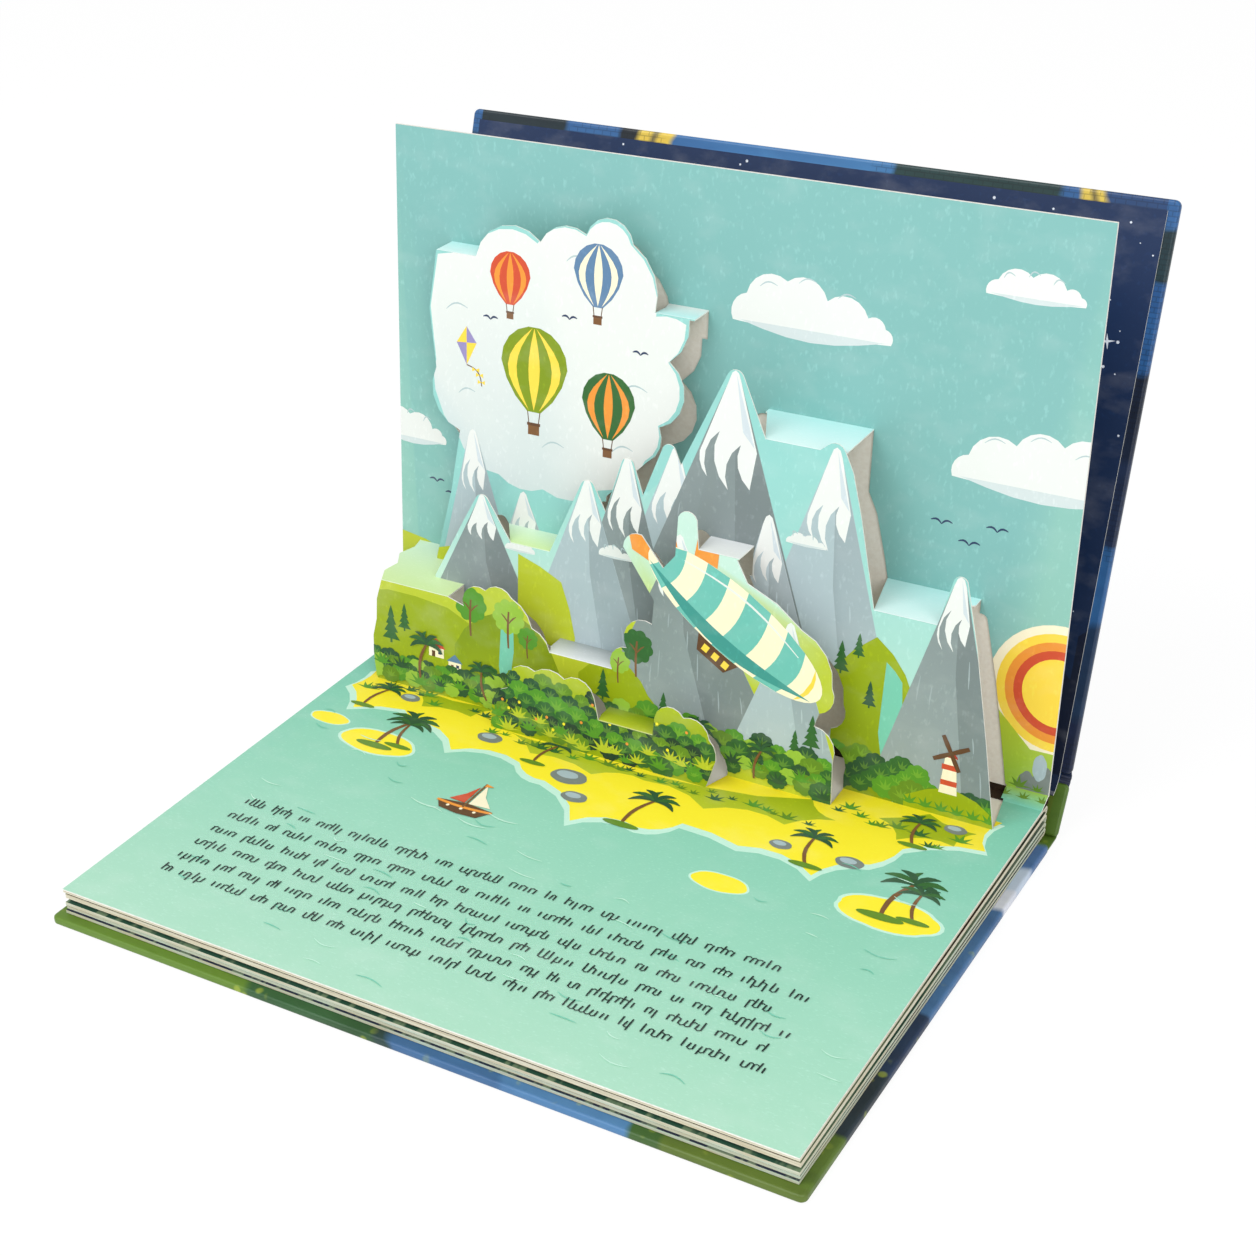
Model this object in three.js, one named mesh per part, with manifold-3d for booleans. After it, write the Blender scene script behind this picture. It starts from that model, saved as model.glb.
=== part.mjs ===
// A hardcover pop-up book, open at one spread: millimetres, +X along the spine, +Y to the spine side, +Z up.
// The origin is the centre of the back cover's underside, which lies on the table.
import * as THREE from "three";
import { mergeVertices } from "three/addons/utils/BufferGeometryUtils.js";
import Module from "manifold-3d";

const wasm = await Module();
wasm.setup();

// Pages
const PAGE_WIDTH = 260; // along the spine
const PAGE_DEPTH = 192; // from the gutter to the outer edge
const CARD = 0.45;
const GLUE_GAP = 0.2; // between two cards that are glued back to back
const LYING_TILT = 0.87; // degrees: the closed spreads are thicker at the spine
const STANDING_LEAN = 4.73; // degrees that the standing page leans back
const GUTTER_RISE = 2.9; // how far the fold stands above the lying page
const GUTTER_RAMP = 5.5; // how far in front of the fold the page starts to rise

// Case
const BOARD_THICKNESS = 2.9;
const BOARD_DEPTH = 191;
const SQUARE = 3.5; // how far a cover stands out past the pages at their ends
const BOARD_EDGE_ROUND = 0.9;
const BOARD_CORNER_ROUND = 2.2;
const HINGE_THICKNESS = 0.8;
const HINGE_GAP = 0.3; // between a board and its hinge strip
const REAR_HINGE_WIDTH = 8.6;
const FRONT_HINGE_WIDTH = 3.5; // its chord: the strip bulges to the rear
const FRONT_HINGE_BULGE = 1.6;
const REAR_HINGE_CLEARANCE = 1.3; // from a pivot to its hinge strip's end
const FRONT_HINGE_CLEARANCE = 0.1;
const SPINE_LENGTH = 18.8; // from pivot to pivot
const SPINE_THICKNESS = 2.5;
const SPINE_END_GAP = 0.3;
const SPINE_LEAN = 29.3; // degrees from upright
const COVER_LEAN = 18.2; // degrees from upright
const GUTTER_TO_PIVOT = 4.1; // the gutter stands this far in front of the rear pivot
const GUTTER_HEIGHT = 15.3; // the lying page's top, at the gutter

// Closed spreads under the lying page, from the top: each leaf's thickness at the outer edge, and each
// gap's height there and at its fold
const BLOCK_SEAT = 0.2; // glue line on the back cover
const LEAF_THICKNESS = [0.75, 1.6, 1.25, 1.0, 1.1];
const GAP_FRONT = [1.0, 1.35, 0.35, 0.3];
const GAP_REAR = [2.0, 2.3, 1.1, 0.9];
const LEAF_SETBACK = [0.2, 0.9, 0.4, 0.7, 0.1]; // uneven outer edges
const FOLD_WALL = 0.9; // paper around a closed gap's end
const FOLD_REACH = 0.6; // how far the folds pass the gutter
const ARC_STEP = 24; // degrees

// Gutter strip, a dark paper hinge that shows through the die-cut holes
const STRIP_THICKNESS = 0.25;
const STRIP_FRONT = GUTTER_RAMP - 1;
const STRIP_TOP = 2;
const STRIP_CLEARANCE = 0.15;

// Endpaper on the front cover
const ENDPAPER_TOP_MARGIN = 3.7;
const ENDPAPER_LIP = 9.2; // the free strip that bends away towards the gutter
const ENDPAPER_LIP_TURN = 56; // degrees
const SLOT_WIDTH = 4;
const SLOT_LENGTH = 34;
const SLOT_X = -38;
const SLOT_FROM_TOP = 5;

// Pop-up layers: how far each stands in front of the standing page
const CLOUD_DEPTH = 10;
const PEAK_DEPTH = 23;
const HILL_DEPTH = 34;
const BUSH_DEPTH = 44;

// Heights of the level straps that hold the layers
const CLOUD_LEFT_STRAP = 156.5;
const CLOUD_RIGHT_STRAP = 147.5;
const SADDLE_STRAP = 60.5;
const SUMMIT_STRAP = 117.5;
const RIGHT_STRAP = 67;
const SHELF_STRAP = 40;
const VALLEY_STRAP = 28.5;
const CREST_STRAP = 80;
const BUSH_STRAP = 14;

// Left sides of two layers, which the shelf strap steps round
const CLOUD_LEFT = -107.5;
const PEAK_LEFT = -99.5;

// The layers are drawn for a page of this width, and spread out along a wider one
const DRAWN_WIDTH = 260;
const alongPage = ([x, ...rest]) => [x * (PAGE_WIDTH / DRAWN_WIDTH), ...rest];

// Outlines as [x, height] going clockwise, with the bulge of the arc to the next point where there is one:
// 1 is a half circle, 0 is straight, and it bulges outwards
const CLOUD_OUTLINE = [
  [CLOUD_LEFT, 0], [CLOUD_LEFT, SHELF_STRAP + 1], [-101, 68], [-97, 92, 0.5], [-107, 114, 0.14],
  [-106.5, CLOUD_LEFT_STRAP], [-90, CLOUD_LEFT_STRAP, 0.6], [-64, 165, 0.45], [-46, 170, 0.8], [-28, 169, 0.35],
  [-19, CLOUD_RIGHT_STRAP], [-6, CLOUD_RIGHT_STRAP, 0.3], [-13, 131.5, 0.65], [-16, 108, 0.4], [-20, 95],
  [-36, 79], [-36, 0],
].map(alongPage);
const PEAK_OUTLINE = [
  [PEAK_LEFT, 0], [PEAK_LEFT, SHELF_STRAP + 1], [-87, 65], [-81.8, 74.6, 0.62], [-76.8, 74.6], [-67.3, SADDLE_STRAP],
  [-51, SADDLE_STRAP], [-38.6, 88.6, 0.62], [-33.6, 88.6], [-28.9, 80], [-22.8, 99.8, 0.62], [-18.4, 99.8],
  [-14.4, 89], [-7.4, 107.6, 0.62], [-2.8, 107.6], [-0.5, 102.5], [15.4, 137, 0.62], [21, 137],
  [30, SUMMIT_STRAP], [49.5, SUMMIT_STRAP], [52, 119.6, 0.5], [58, 118.8], [61.4, 112], [65.4, 97],
  [72, RIGHT_STRAP], [94, RIGHT_STRAP], [98.2, 83.6, 0.62], [102.8, 83.6], [108, 62], [114, 31], [119.5, 0],
].map(alongPage);
const HILL_OUTLINE = [
  [-118.5, 0], [-120, 10, 0.12], [-118.5, 24, 0.12], [-116, SHELF_STRAP], [-87, SHELF_STRAP], [-80, 38, 0.7],
  [-71, 46, 0.5], [-60, 45.5, 0.25], [-51.5, 36, 0.3], [-44, VALLEY_STRAP], [-18.5, VALLEY_STRAP, 0.6],
  [-13, 38, 0.75], [-3.5, 49], [-3, 58], [-15.5, 75, 0.5], [-8.5, 80.5], [0, 70.5], [4.5, 76], [5, 90, 0.7],
  [12, 90], [13, CREST_STRAP], [27, CREST_STRAP], [31.5, 72, 0.12], [52, 60, 0.35], [64, 42, 0.5], [60, 32],
  [58.5, 27, 0.5], [66, 16], [66.5, 0],
].map(alongPage);
const BUSH_OUTLINE = [
  [-62, 0], [-61.5, 10, 0.3], [-55, 17, 0.7], [-44, 26, 0.35], [-32, 26, 0.55], [-20, 22], [-18, BUSH_STRAP],
  [3.5, BUSH_STRAP], [4, 21, 0.7], [15, 23.5, 0.5], [25, 18, 0.35], [27, 8, 0.1], [24.5, 0],
].map(alongPage);

// Straps: [x, depth] corners in front of the standing page, with the height of the strap
const LAYERS = [
  {
    depth: CLOUD_DEPTH,
    outline: CLOUD_OUTLINE,
    straps: [
      { height: CLOUD_LEFT_STRAP, shape: strip(-106.5, -88, 0, CLOUD_DEPTH) },
      { height: CLOUD_RIGHT_STRAP, shape: strip(-21, -4, 0, CLOUD_DEPTH) },
    ],
  },
  {
    depth: PEAK_DEPTH,
    outline: PEAK_OUTLINE,
    straps: [
      { height: SADDLE_STRAP, shape: strip(-78, -51, CLOUD_DEPTH, PEAK_DEPTH) },
      { height: SUMMIT_STRAP, shape: strip(20, 58, 0, PEAK_DEPTH) },
      { height: RIGHT_STRAP, shape: strip(65, 100, 0, PEAK_DEPTH) },
    ],
  },
  {
    depth: HILL_DEPTH,
    outline: HILL_OUTLINE,
    straps: [
      {
        height: SHELF_STRAP,
        shape: [
          [-122, 0], [CLOUD_LEFT + CARD, 0], [CLOUD_LEFT + CARD, CLOUD_DEPTH], [PEAK_LEFT + CARD, CLOUD_DEPTH],
          [PEAK_LEFT + CARD, PEAK_DEPTH], [-87, PEAK_DEPTH],
          [-87, HILL_DEPTH], [-116, HILL_DEPTH], [-119.5, 27], [-118.5, 20], [-122.5, 13], [-120.5, 6],
        ].map(alongPage),
      },
      { height: VALLEY_STRAP, shape: strip(-46, -16, PEAK_DEPTH, HILL_DEPTH) },
      { height: CREST_STRAP, shape: strip(12, 28, PEAK_DEPTH, HILL_DEPTH) },
    ],
  },
  {
    depth: BUSH_DEPTH,
    outline: BUSH_OUTLINE,
    straps: [{ height: BUSH_STRAP, shape: strip(-19, 4.5, HILL_DEPTH, BUSH_DEPTH) }],
  },
];

const rad = THREE.MathUtils.degToRad;
const HALF_PAGE = PAGE_WIDTH / 2;
const HALF_COVER = HALF_PAGE + SQUARE;
const REAR_PIVOT_Y = BOARD_DEPTH / 2 + REAR_HINGE_WIDTH;
const GUTTER_Y = REAR_PIVOT_Y - GUTTER_TO_PIVOT;
const FRONT_PIVOT = new THREE.Vector3(
  0,
  REAR_PIVOT_Y + SPINE_LENGTH * Math.sin(rad(SPINE_LEAN)),
  SPINE_LENGTH * Math.cos(rad(SPINE_LEAN)),
);

function strip(left, right, back, front) {
  return [[left, back], [right, back], [right, front], [left, front]].map(alongPage);
}

// Points of an outline, with each bulged side cut into short straight steps
function traced(outline) {
  const points = [];
  outline.forEach(([x, y, bulge = 0], i) => {
    const [nextX, nextY] = outline[(i + 1) % outline.length];
    points.push(new THREE.Vector2(x, y));
    const turn = 4 * Math.atan(bulge);
    const steps = Math.ceil(Math.abs(turn) / rad(ARC_STEP));
    const chord = Math.hypot(nextX - x, nextY - y);
    const radius = chord / 2 / Math.sin(turn / 2);
    const heading = Math.atan2(nextY - y, nextX - x) + turn / 2;
    for (let step = 1; step < steps; step++) {
      const swept = (turn * step) / steps;
      const reach = 2 * radius * Math.sin(swept / 2);
      const along = heading - swept / 2;
      points.push(new THREE.Vector2(x + reach * Math.cos(along), y + reach * Math.sin(along)));
    }
  });
  return points;
}

function extruded(points, depth) {
  return new THREE.ExtrudeGeometry(new THREE.Shape(points), { depth, bevelEnabled: false });
}

// A side profile of [y, z] points, drawn out along X and centred on it
function drawnOut(points, width) {
  const turn = new THREE.Matrix4().makeBasis(
    new THREE.Vector3(0, 1, 0),
    new THREE.Vector3(0, 0, 1),
    new THREE.Vector3(1, 0, 0),
  );
  return extruded(points, width).applyMatrix4(turn).translate(-width / 2, 0, 0);
}

function solidFrom(geometry) {
  const bare = geometry.index ? geometry.toNonIndexed() : geometry.clone();
  bare.deleteAttribute("normal");
  bare.deleteAttribute("uv");
  const merged = mergeVertices(bare, 1e-4);
  return new wasm.Manifold(
    new wasm.Mesh({
      numProp: 3,
      vertProperties: merged.attributes.position.array,
      triVerts: new Uint32Array(merged.index.array),
    }),
  );
}

function geometryFrom(solid) {
  const { vertProperties, triVerts } = solid.getMesh();
  return new THREE.BufferGeometry()
    .setAttribute("position", new THREE.BufferAttribute(vertProperties, 3))
    .setIndex(new THREE.BufferAttribute(triVerts, 1))
    .toNonIndexed();
}

// The spread is built with its two halves square to each other, Y back from the gutter and Z up from it,
// and this matrix then leans the standing half and tilts the lying half
function spreadFrame() {
  const lying = new THREE.Vector3(0, Math.cos(rad(LYING_TILT)), Math.sin(rad(LYING_TILT)));
  const standing = new THREE.Vector3(0, Math.sin(rad(STANDING_LEAN)), Math.cos(rad(STANDING_LEAN)));
  return new THREE.Matrix4()
    .makeBasis(new THREE.Vector3(1, 0, 0), lying, standing)
    .setPosition(0, GUTTER_Y, GUTTER_HEIGHT);
}

// A card parallel to the standing page, from [x, height] points: its front face is depth in front of it
function standingCard(points, depth, thickness = CARD) {
  return extruded(points, thickness).rotateX(Math.PI / 2).translate(0, thickness - depth, 0);
}

// A card parallel to the lying page, from [x, y] points: its top is at height
function lyingCard(points, height, thickness = CARD) {
  return extruded(points, thickness).translate(0, 0, height - thickness);
}

function moved(points, by) {
  return points.map(({ x, y }) => new THREE.Vector2(x, y + by));
}

// What a layer takes out of the sheet, as outlines of [x, place on the sheet up from the gutter], with the
// height that a strap's opening ends at
function cutsOf({ depth, outline, straps }) {
  const panel = traced(outline).map((p) => new THREE.Vector2(p.x, p.y === 0 ? CARD - depth : p.y - depth));
  const openings = straps.map(({ height, shape }) => ({
    points: shape.map(([x, y]) => new THREE.Vector2(x, height - y)),
    top: height - CARD,
  }));
  return [{ points: panel, top: PAGE_DEPTH }, ...openings];
}

// The holes that the layers from first on leave in a card that stands depth in front of the standing page
function holesInStanding(first, depth) {
  const cuts = LAYERS.slice(first).flatMap(cutsOf);
  return cuts.map(({ points, top }) => {
    const hole = solidFrom(standingCard(moved(points, depth), depth + CARD, 3 * CARD));
    return hole.trimByPlane([0, 0, -1], -top);
  });
}

function holesInLying() {
  return LAYERS.flatMap(cutsOf).map(({ points }) => solidFrom(lyingCard(points, CARD, 3 * CARD)));
}

// The bare sheet, folded at the gutter, seen from its end
function foldedSheetProfile() {
  const top = PAGE_DEPTH + GUTTER_RISE;
  return [
    [-PAGE_DEPTH, -CARD], [-GUTTER_RAMP + CARD / 2, -CARD], [0, GUTTER_RISE - 2 * CARD],
    [CARD, GUTTER_RISE - CARD], [CARD, top], [0, top], [0, GUTTER_RISE], [-GUTTER_RAMP, 0], [-PAGE_DEPTH, 0],
  ].map(([y, z]) => new THREE.Vector2(y, z));
}

// The sheet with every layer's hole: a slice of each cut works on the half that it belongs to
function dieCutSheet() {
  const sheet = solidFrom(drawnOut(foldedSheetProfile(), PAGE_WIDTH));
  const reach = 2 * PAGE_DEPTH;
  const upper = solidFrom(new THREE.BoxGeometry(reach, reach, reach).translate(0, 0, reach / 2));
  const lower = solidFrom(new THREE.BoxGeometry(reach, reach, reach).translate(0, -reach / 2, 0));
  const through = solidFrom(gutterOpening());
  const standing = wasm.Manifold.union(holesInStanding(0, 0)).intersect(upper);
  const lying = wasm.Manifold.union(holesInLying()).intersect(lower);
  return sheet.subtract(standing).subtract(lying).subtract(through);
}

// The layers' holes run across the fold, so the rise at the gutter goes with them
function gutterOpening() {
  const left = crossing(HILL_OUTLINE, HILL_DEPTH, 0);
  const right = crossing(PEAK_OUTLINE, PEAK_DEPTH, -1);
  const depth = GUTTER_RAMP + 2 * CARD;
  const height = GUTTER_RISE + 2 * CARD;
  return new THREE.BoxGeometry(right - left, depth, height).translate(
    (left + right) / 2,
    -depth / 2 + 1.5 * CARD,
    height / 2 - CARD * 1.5,
  );
}

// Where a layer's side edge meets the gutter: side 0 is the first side of the outline and -1 the last
function crossing(outline, depth, side) {
  const points = traced(outline);
  const order = side === 0 ? points : [...points].reverse();
  const above = order.findIndex((p) => p.y > depth);
  const [low, high] = [order[above - 1], order[above]];
  return low.x + ((high.x - low.x) * (depth - low.y)) / (high.y - low.y);
}

// A layer's upright panel, with the holes of the layers in front of it
function panelOf(layer, index) {
  const points = traced(layer.outline).map((p) => new THREE.Vector2(p.x, p.y === 0 ? -CARD : p.y));
  const panel = solidFrom(standingCard(points, layer.depth));
  const later = holesInStanding(index + 1, layer.depth);
  return later.length ? panel.subtract(wasm.Manifold.union(later)) : panel;
}

// A layer's level straps, which reach back through the card that they fold out of
function strapsOf({ depth, outline, straps }) {
  return straps.map(({ height, shape }) => {
    const points = shape.map(([x, y]) => new THREE.Vector2(x, -y));
    const level = [0, CARD].map((back) => solidFrom(lyingCard(moved(points, back), height)));
    const peaks = moved(traced(outline), -depth - height);
    return wasm.Manifold.union(level).subtract(solidFrom(lyingCard(peaks, height + CARD, 3 * CARD)));
  });
}

function popupSheet() {
  const pieces = [dieCutSheet(), ...LAYERS.map(panelOf), ...LAYERS.flatMap(strapsOf)];
  return geometryFrom(wasm.Manifold.union(pieces).transform(spreadFrame().elements));
}

// A cover board with its glued wrap: the hinge edge on X, the outer face down
function board() {
  const width = 2 * (HALF_COVER - BOARD_EDGE_ROUND);
  const depth = BOARD_DEPTH - 2 * BOARD_EDGE_ROUND;
  const corner = BOARD_CORNER_ROUND - BOARD_EDGE_ROUND;
  const shape = roundedRectangle(width, depth, corner);
  return new THREE.ExtrudeGeometry(shape, {
    depth: BOARD_THICKNESS - 2 * BOARD_EDGE_ROUND,
    bevelThickness: BOARD_EDGE_ROUND,
    bevelSize: BOARD_EDGE_ROUND,
    bevelSegments: 3,
    curveSegments: 4,
  }).translate(0, BOARD_DEPTH / 2, BOARD_EDGE_ROUND);
}

function roundedRectangle(width, depth, corner) {
  const [x, y] = [width / 2, depth / 2];
  return new THREE.Shape()
    .moveTo(-x + corner, -y)
    .lineTo(x - corner, -y)
    .absarc(x - corner, -y + corner, corner, -Math.PI / 2, 0)
    .lineTo(x, y - corner)
    .absarc(x - corner, y - corner, corner, 0, Math.PI / 2)
    .lineTo(-x + corner, y)
    .absarc(-x + corner, y - corner, corner, Math.PI / 2, Math.PI)
    .lineTo(-x, -y + corner)
    .absarc(-x + corner, -y + corner, corner, Math.PI, 1.5 * Math.PI);
}

// The flat strip of wrap and cloth between the back cover and the spine
function rearHinge() {
  const width = REAR_HINGE_WIDTH - HINGE_GAP - REAR_HINGE_CLEARANCE;
  const middle = BOARD_DEPTH / 2 + HINGE_GAP + width / 2;
  return new THREE.BoxGeometry(2 * HALF_COVER, width, HINGE_THICKNESS).translate(0, middle, HINGE_THICKNESS / 2);
}

// The strip between the spine and the front cover, which bulges to the rear
function frontHinge() {
  const from = FRONT_HINGE_CLEARANCE;
  const to = FRONT_HINGE_WIDTH - HINGE_GAP;
  const steps = 8;
  const bow = (i) => -FRONT_HINGE_BULGE * Math.sin((Math.PI * i) / steps);
  const outer = [];
  const inner = [];
  for (let i = 0; i <= steps; i++) {
    const y = from + ((to - from) * i) / steps;
    outer.push(new THREE.Vector2(y, bow(i)));
    inner.unshift(new THREE.Vector2(y, bow(i) + HINGE_THICKNESS));
  }
  return drawnOut([...outer, ...inner], 2 * HALF_COVER);
}

function spineBoard() {
  const round = SPINE_THICKNESS / 3;
  const length = SPINE_LENGTH - 2 * SPINE_END_GAP - 2 * round;
  const middle = SPINE_LENGTH / 2;
  const shape = roundedRectangle(2 * (HALF_COVER - round), length, round);
  return new THREE.ExtrudeGeometry(shape, {
    depth: SPINE_THICKNESS - 2 * round,
    bevelThickness: round,
    bevelSize: round,
    bevelSegments: 3,
    curveSegments: 3,
  }).translate(0, middle, round);
}

// The paste-down half of the first spread: flat on the cover, with a free lip at the hinge side
function endpaper() {
  const low = BOARD_THICKNESS + GLUE_GAP;
  const bend = FRONT_HINGE_WIDTH + BOARD_EDGE_ROUND;
  const top = FRONT_HINGE_WIDTH + BOARD_DEPTH - ENDPAPER_TOP_MARGIN;
  const steps = 6;
  const under = [new THREE.Vector2(top, low)];
  const over = [new THREE.Vector2(top, low + CARD)];
  const at = new THREE.Vector2(bend, low);
  for (let i = 0; i <= steps; i++) {
    const turned = rad((ENDPAPER_LIP_TURN * i) / steps);
    const across = new THREE.Vector2(Math.sin(turned), Math.cos(turned)).multiplyScalar(CARD);
    under.push(at.clone());
    over.unshift(at.clone().add(across));
    at.add(new THREE.Vector2(-Math.cos(turned), Math.sin(turned)).multiplyScalar(ENDPAPER_LIP / steps));
  }
  const sheet = solidFrom(drawnOut([...under, ...over], PAGE_WIDTH));
  return geometryFrom(sheet.subtract(solidFrom(endpaperSlot(top - SLOT_FROM_TOP))));
}

// A narrow round-topped opening that the first spread's own pop-up leaves
function endpaperSlot(top) {
  const half = SLOT_WIDTH / 2;
  const outline = [
    [SLOT_X - half, top - SLOT_LENGTH], [SLOT_X - half, top - half, 1], [SLOT_X + half, top - half],
    [SLOT_X + half, top - SLOT_LENGTH],
  ];
  return extruded(traced(outline), 3 * CARD).translate(0, 0, BOARD_THICKNESS + GLUE_GAP - CARD);
}

// The card behind the standing page, which is the other half of the first spread
function leafBack() {
  const bottom = STRIP_TOP;
  const top = PAGE_DEPTH + GUTTER_RISE;
  const corners = [[-HALF_PAGE, bottom], [-HALF_PAGE, top], [HALF_PAGE, top], [HALF_PAGE, bottom]];
  const points = corners.map(([x, y]) => new THREE.Vector2(x, y));
  return standingCard(points, -(CARD + GLUE_GAP)).applyMatrix4(spreadFrame());
}

function gutterStrip() {
  const floor = -CARD - GLUE_GAP + STRIP_CLEARANCE;
  const face = CARD + GLUE_GAP;
  const top = STRIP_TOP - STRIP_CLEARANCE;
  const profile = [
    [-STRIP_FRONT, floor], [face + STRIP_THICKNESS, floor], [face + STRIP_THICKNESS, top], [face, top],
    [face, floor + STRIP_THICKNESS], [-STRIP_FRONT, floor + STRIP_THICKNESS],
  ].map(([y, z]) => new THREE.Vector2(y, z));
  return drawnOut(profile, PAGE_WIDTH).applyMatrix4(spreadFrame());
}

// The closed spreads as one solid: leaves glued in pairs, with a rounded fold round each gap's inner end
function pageBlock() {
  const rear = GUTTER_Y + FOLD_REACH;
  const front = GUTTER_Y - PAGE_DEPTH;
  const cover = CARD + GLUE_GAP;
  const frontTop = GUTTER_HEIGHT - PAGE_DEPTH * Math.sin(rad(LYING_TILT)) - cover;
  const rearTop = GUTTER_HEIGHT - cover;
  const floor = BOARD_THICKNESS + BLOCK_SEAT;
  const edges = leafEdges(frontTop - floor, LEAF_THICKNESS, GAP_FRONT);
  const folds = leafEdges(rearTop - floor, LEAF_THICKNESS, GAP_REAR);
  const points = [new THREE.Vector2(front + LEAF_SETBACK[0], frontTop)];
  edges.forEach(([, under], leaf) => {
    const y = front + LEAF_SETBACK[leaf];
    points.push(new THREE.Vector2(y, frontTop - under));
    if (leaf === edges.length - 1) return;
    const gapTop = rearTop - folds[leaf][1];
    const gapFloor = rearTop - folds[leaf + 1][0];
    const inner = rear - FOLD_WALL - (gapTop - gapFloor) / 2;
    points.push(...halfRound(inner, gapTop, gapFloor));
    points.push(new THREE.Vector2(front + LEAF_SETBACK[leaf + 1], frontTop - edges[leaf + 1][0]));
  });
  points.push(...outerFolds(rear, rearTop, folds).reverse());
  return drawnOut(points, PAGE_WIDTH);
}

// How far under the top each leaf starts and ends, with the gaps scaled so that the last leaf ends at height
function leafEdges(height, leaves, gaps) {
  const total = (list) => list.reduce((sum, value) => sum + value, 0);
  const scale = (height - total(leaves)) / total(gaps);
  let under = 0;
  return leaves.map((thickness, i) => {
    const start = under;
    under += thickness;
    const edge = [start, under];
    under += (gaps[i] ?? 0) * scale;
    return edge;
  });
}

// A half circle that bulges to the rear, from its top to its floor
function halfRound(y, top, floor, steps = 6) {
  const radius = (top - floor) / 2;
  const points = [];
  for (let i = 0; i <= steps; i++) {
    const angle = Math.PI / 2 - (Math.PI * i) / steps;
    points.push(new THREE.Vector2(y + radius * Math.cos(angle), floor + radius + radius * Math.sin(angle)));
  }
  return points;
}

// The rounded backs of the closed spreads, from the top down: they meet in the middle of each glued leaf
function outerFolds(rear, rearTop, folds) {
  const points = [];
  for (let i = 0; i < folds.length - 1; i++) {
    const top = i === 0 ? 0 : (folds[i][0] + folds[i][1]) / 2;
    const last = i === folds.length - 2;
    const bottom = last ? folds[i + 1][1] : (folds[i + 1][0] + folds[i + 1][1]) / 2;
    const radius = (bottom - top) / 2;
    const round = halfRound(rear - radius, rearTop - top, rearTop - bottom, 8);
    points.push(...(i === 0 ? round : round.slice(1)));
  }
  return points;
}

const COLORS = {
  wrap: 0x3f6a2a,
  board: 0x1d3a63,
  hinge: 0x1b2c44,
  night: 0x24365c,
  leaf: 0xe4e0cf,
  card: 0x86c7c1,
  strip: 0x33200f,
  beige: 0xc2b8a4,
};

function mesh(name, geometry, color, roughness) {
  const material = new THREE.MeshStandardMaterial({ color, roughness, metalness: 0 });
  const made = new THREE.Mesh(geometry, material);
  made.name = name;
  return made;
}

function backCover() {
  const group = new THREE.Group();
  group.position.y = BOARD_DEPTH / 2;
  group.rotation.z = Math.PI;
  group.add(mesh("back_cover", board(), COLORS.wrap, 0.45));
  return group;
}

function spine() {
  const group = new THREE.Group();
  group.position.y = REAR_PIVOT_Y;
  group.rotation.x = rad(90 - SPINE_LEAN);
  group.add(mesh("spine", spineBoard(), COLORS.wrap, 0.45));
  return group;
}

function frontCover() {
  const group = new THREE.Group();
  group.position.copy(FRONT_PIVOT);
  group.rotation.x = rad(90 - COVER_LEAN);
  const cover = mesh("front_cover", board(), COLORS.board, 0.45);
  cover.position.y = FRONT_HINGE_WIDTH;
  group.add(cover);
  group.add(mesh("front_hinge", frontHinge(), COLORS.hinge, 0.5));
  group.add(mesh("endpaper", endpaper(), COLORS.night, 0.6));
  return group;
}

const book = new THREE.Group();
book.add(backCover());
book.add(mesh("rear_hinge", rearHinge(), COLORS.wrap, 0.5));
book.add(spine());
book.add(frontCover());
book.add(mesh("page_block", pageBlock(), COLORS.leaf, 0.8));
book.add(mesh("gutter_strip", gutterStrip(), COLORS.strip, 0.8));
book.add(mesh("leaf_back", leafBack(), COLORS.beige, 0.7));
book.add(mesh("popup_sheet", popupSheet(), COLORS.card, 0.6));

export default book;
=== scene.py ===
"""Looks of a hardback pop-up book that stands open on a pale table.

The CAD frame gives every board, leaf and die-cut card. This script prints the cards, covers
and endpaper with flat fields of ink, finishes the paper, and sets the table, light and camera.
"""

import logging
import math
import random
from dataclasses import dataclass, field
from enum import Enum

import bpy
import numpy as np
from mathutils import Matrix, Vector
from mathutils.bvhtree import BVHTree


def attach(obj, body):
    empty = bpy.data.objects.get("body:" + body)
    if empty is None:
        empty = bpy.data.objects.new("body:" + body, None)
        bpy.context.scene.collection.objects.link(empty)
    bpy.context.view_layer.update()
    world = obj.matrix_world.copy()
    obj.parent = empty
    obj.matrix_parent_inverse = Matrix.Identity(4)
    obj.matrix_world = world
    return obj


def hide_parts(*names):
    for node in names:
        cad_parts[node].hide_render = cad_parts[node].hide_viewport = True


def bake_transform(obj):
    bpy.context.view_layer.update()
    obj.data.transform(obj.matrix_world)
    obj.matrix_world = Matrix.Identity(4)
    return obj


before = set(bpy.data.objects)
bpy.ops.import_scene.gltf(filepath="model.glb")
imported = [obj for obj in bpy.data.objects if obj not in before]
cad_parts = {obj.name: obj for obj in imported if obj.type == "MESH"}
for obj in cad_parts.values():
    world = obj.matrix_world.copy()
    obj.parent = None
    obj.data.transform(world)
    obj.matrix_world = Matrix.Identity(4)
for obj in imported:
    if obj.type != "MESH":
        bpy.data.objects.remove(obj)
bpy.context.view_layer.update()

LOG = logging.getLogger("popup_book")
MM = 0.001
SMALL_FIELD = 14.0  # fields below this size can't hold a whole die-cut hole, in millimetres
CUTTER_DEPTH = 8.0  # thickness of the block that cuts the fields, in millimetres
RAY_HEIGHT = 20.0  # where the rays that look for the card below a corner start, in millimetres
FLAT_TOLERANCE = 0.02  # how far a corner may lie off the plane of its face, in millimetres
GOLDEN_SHARE = 0.618  # steps of this share of a length scatter things along it evenly
SILVER_SHARE = 0.414  # the same, for a second direction

Point = tuple[float, float]
Colour = tuple[int, int, int]


# Sizes


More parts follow.
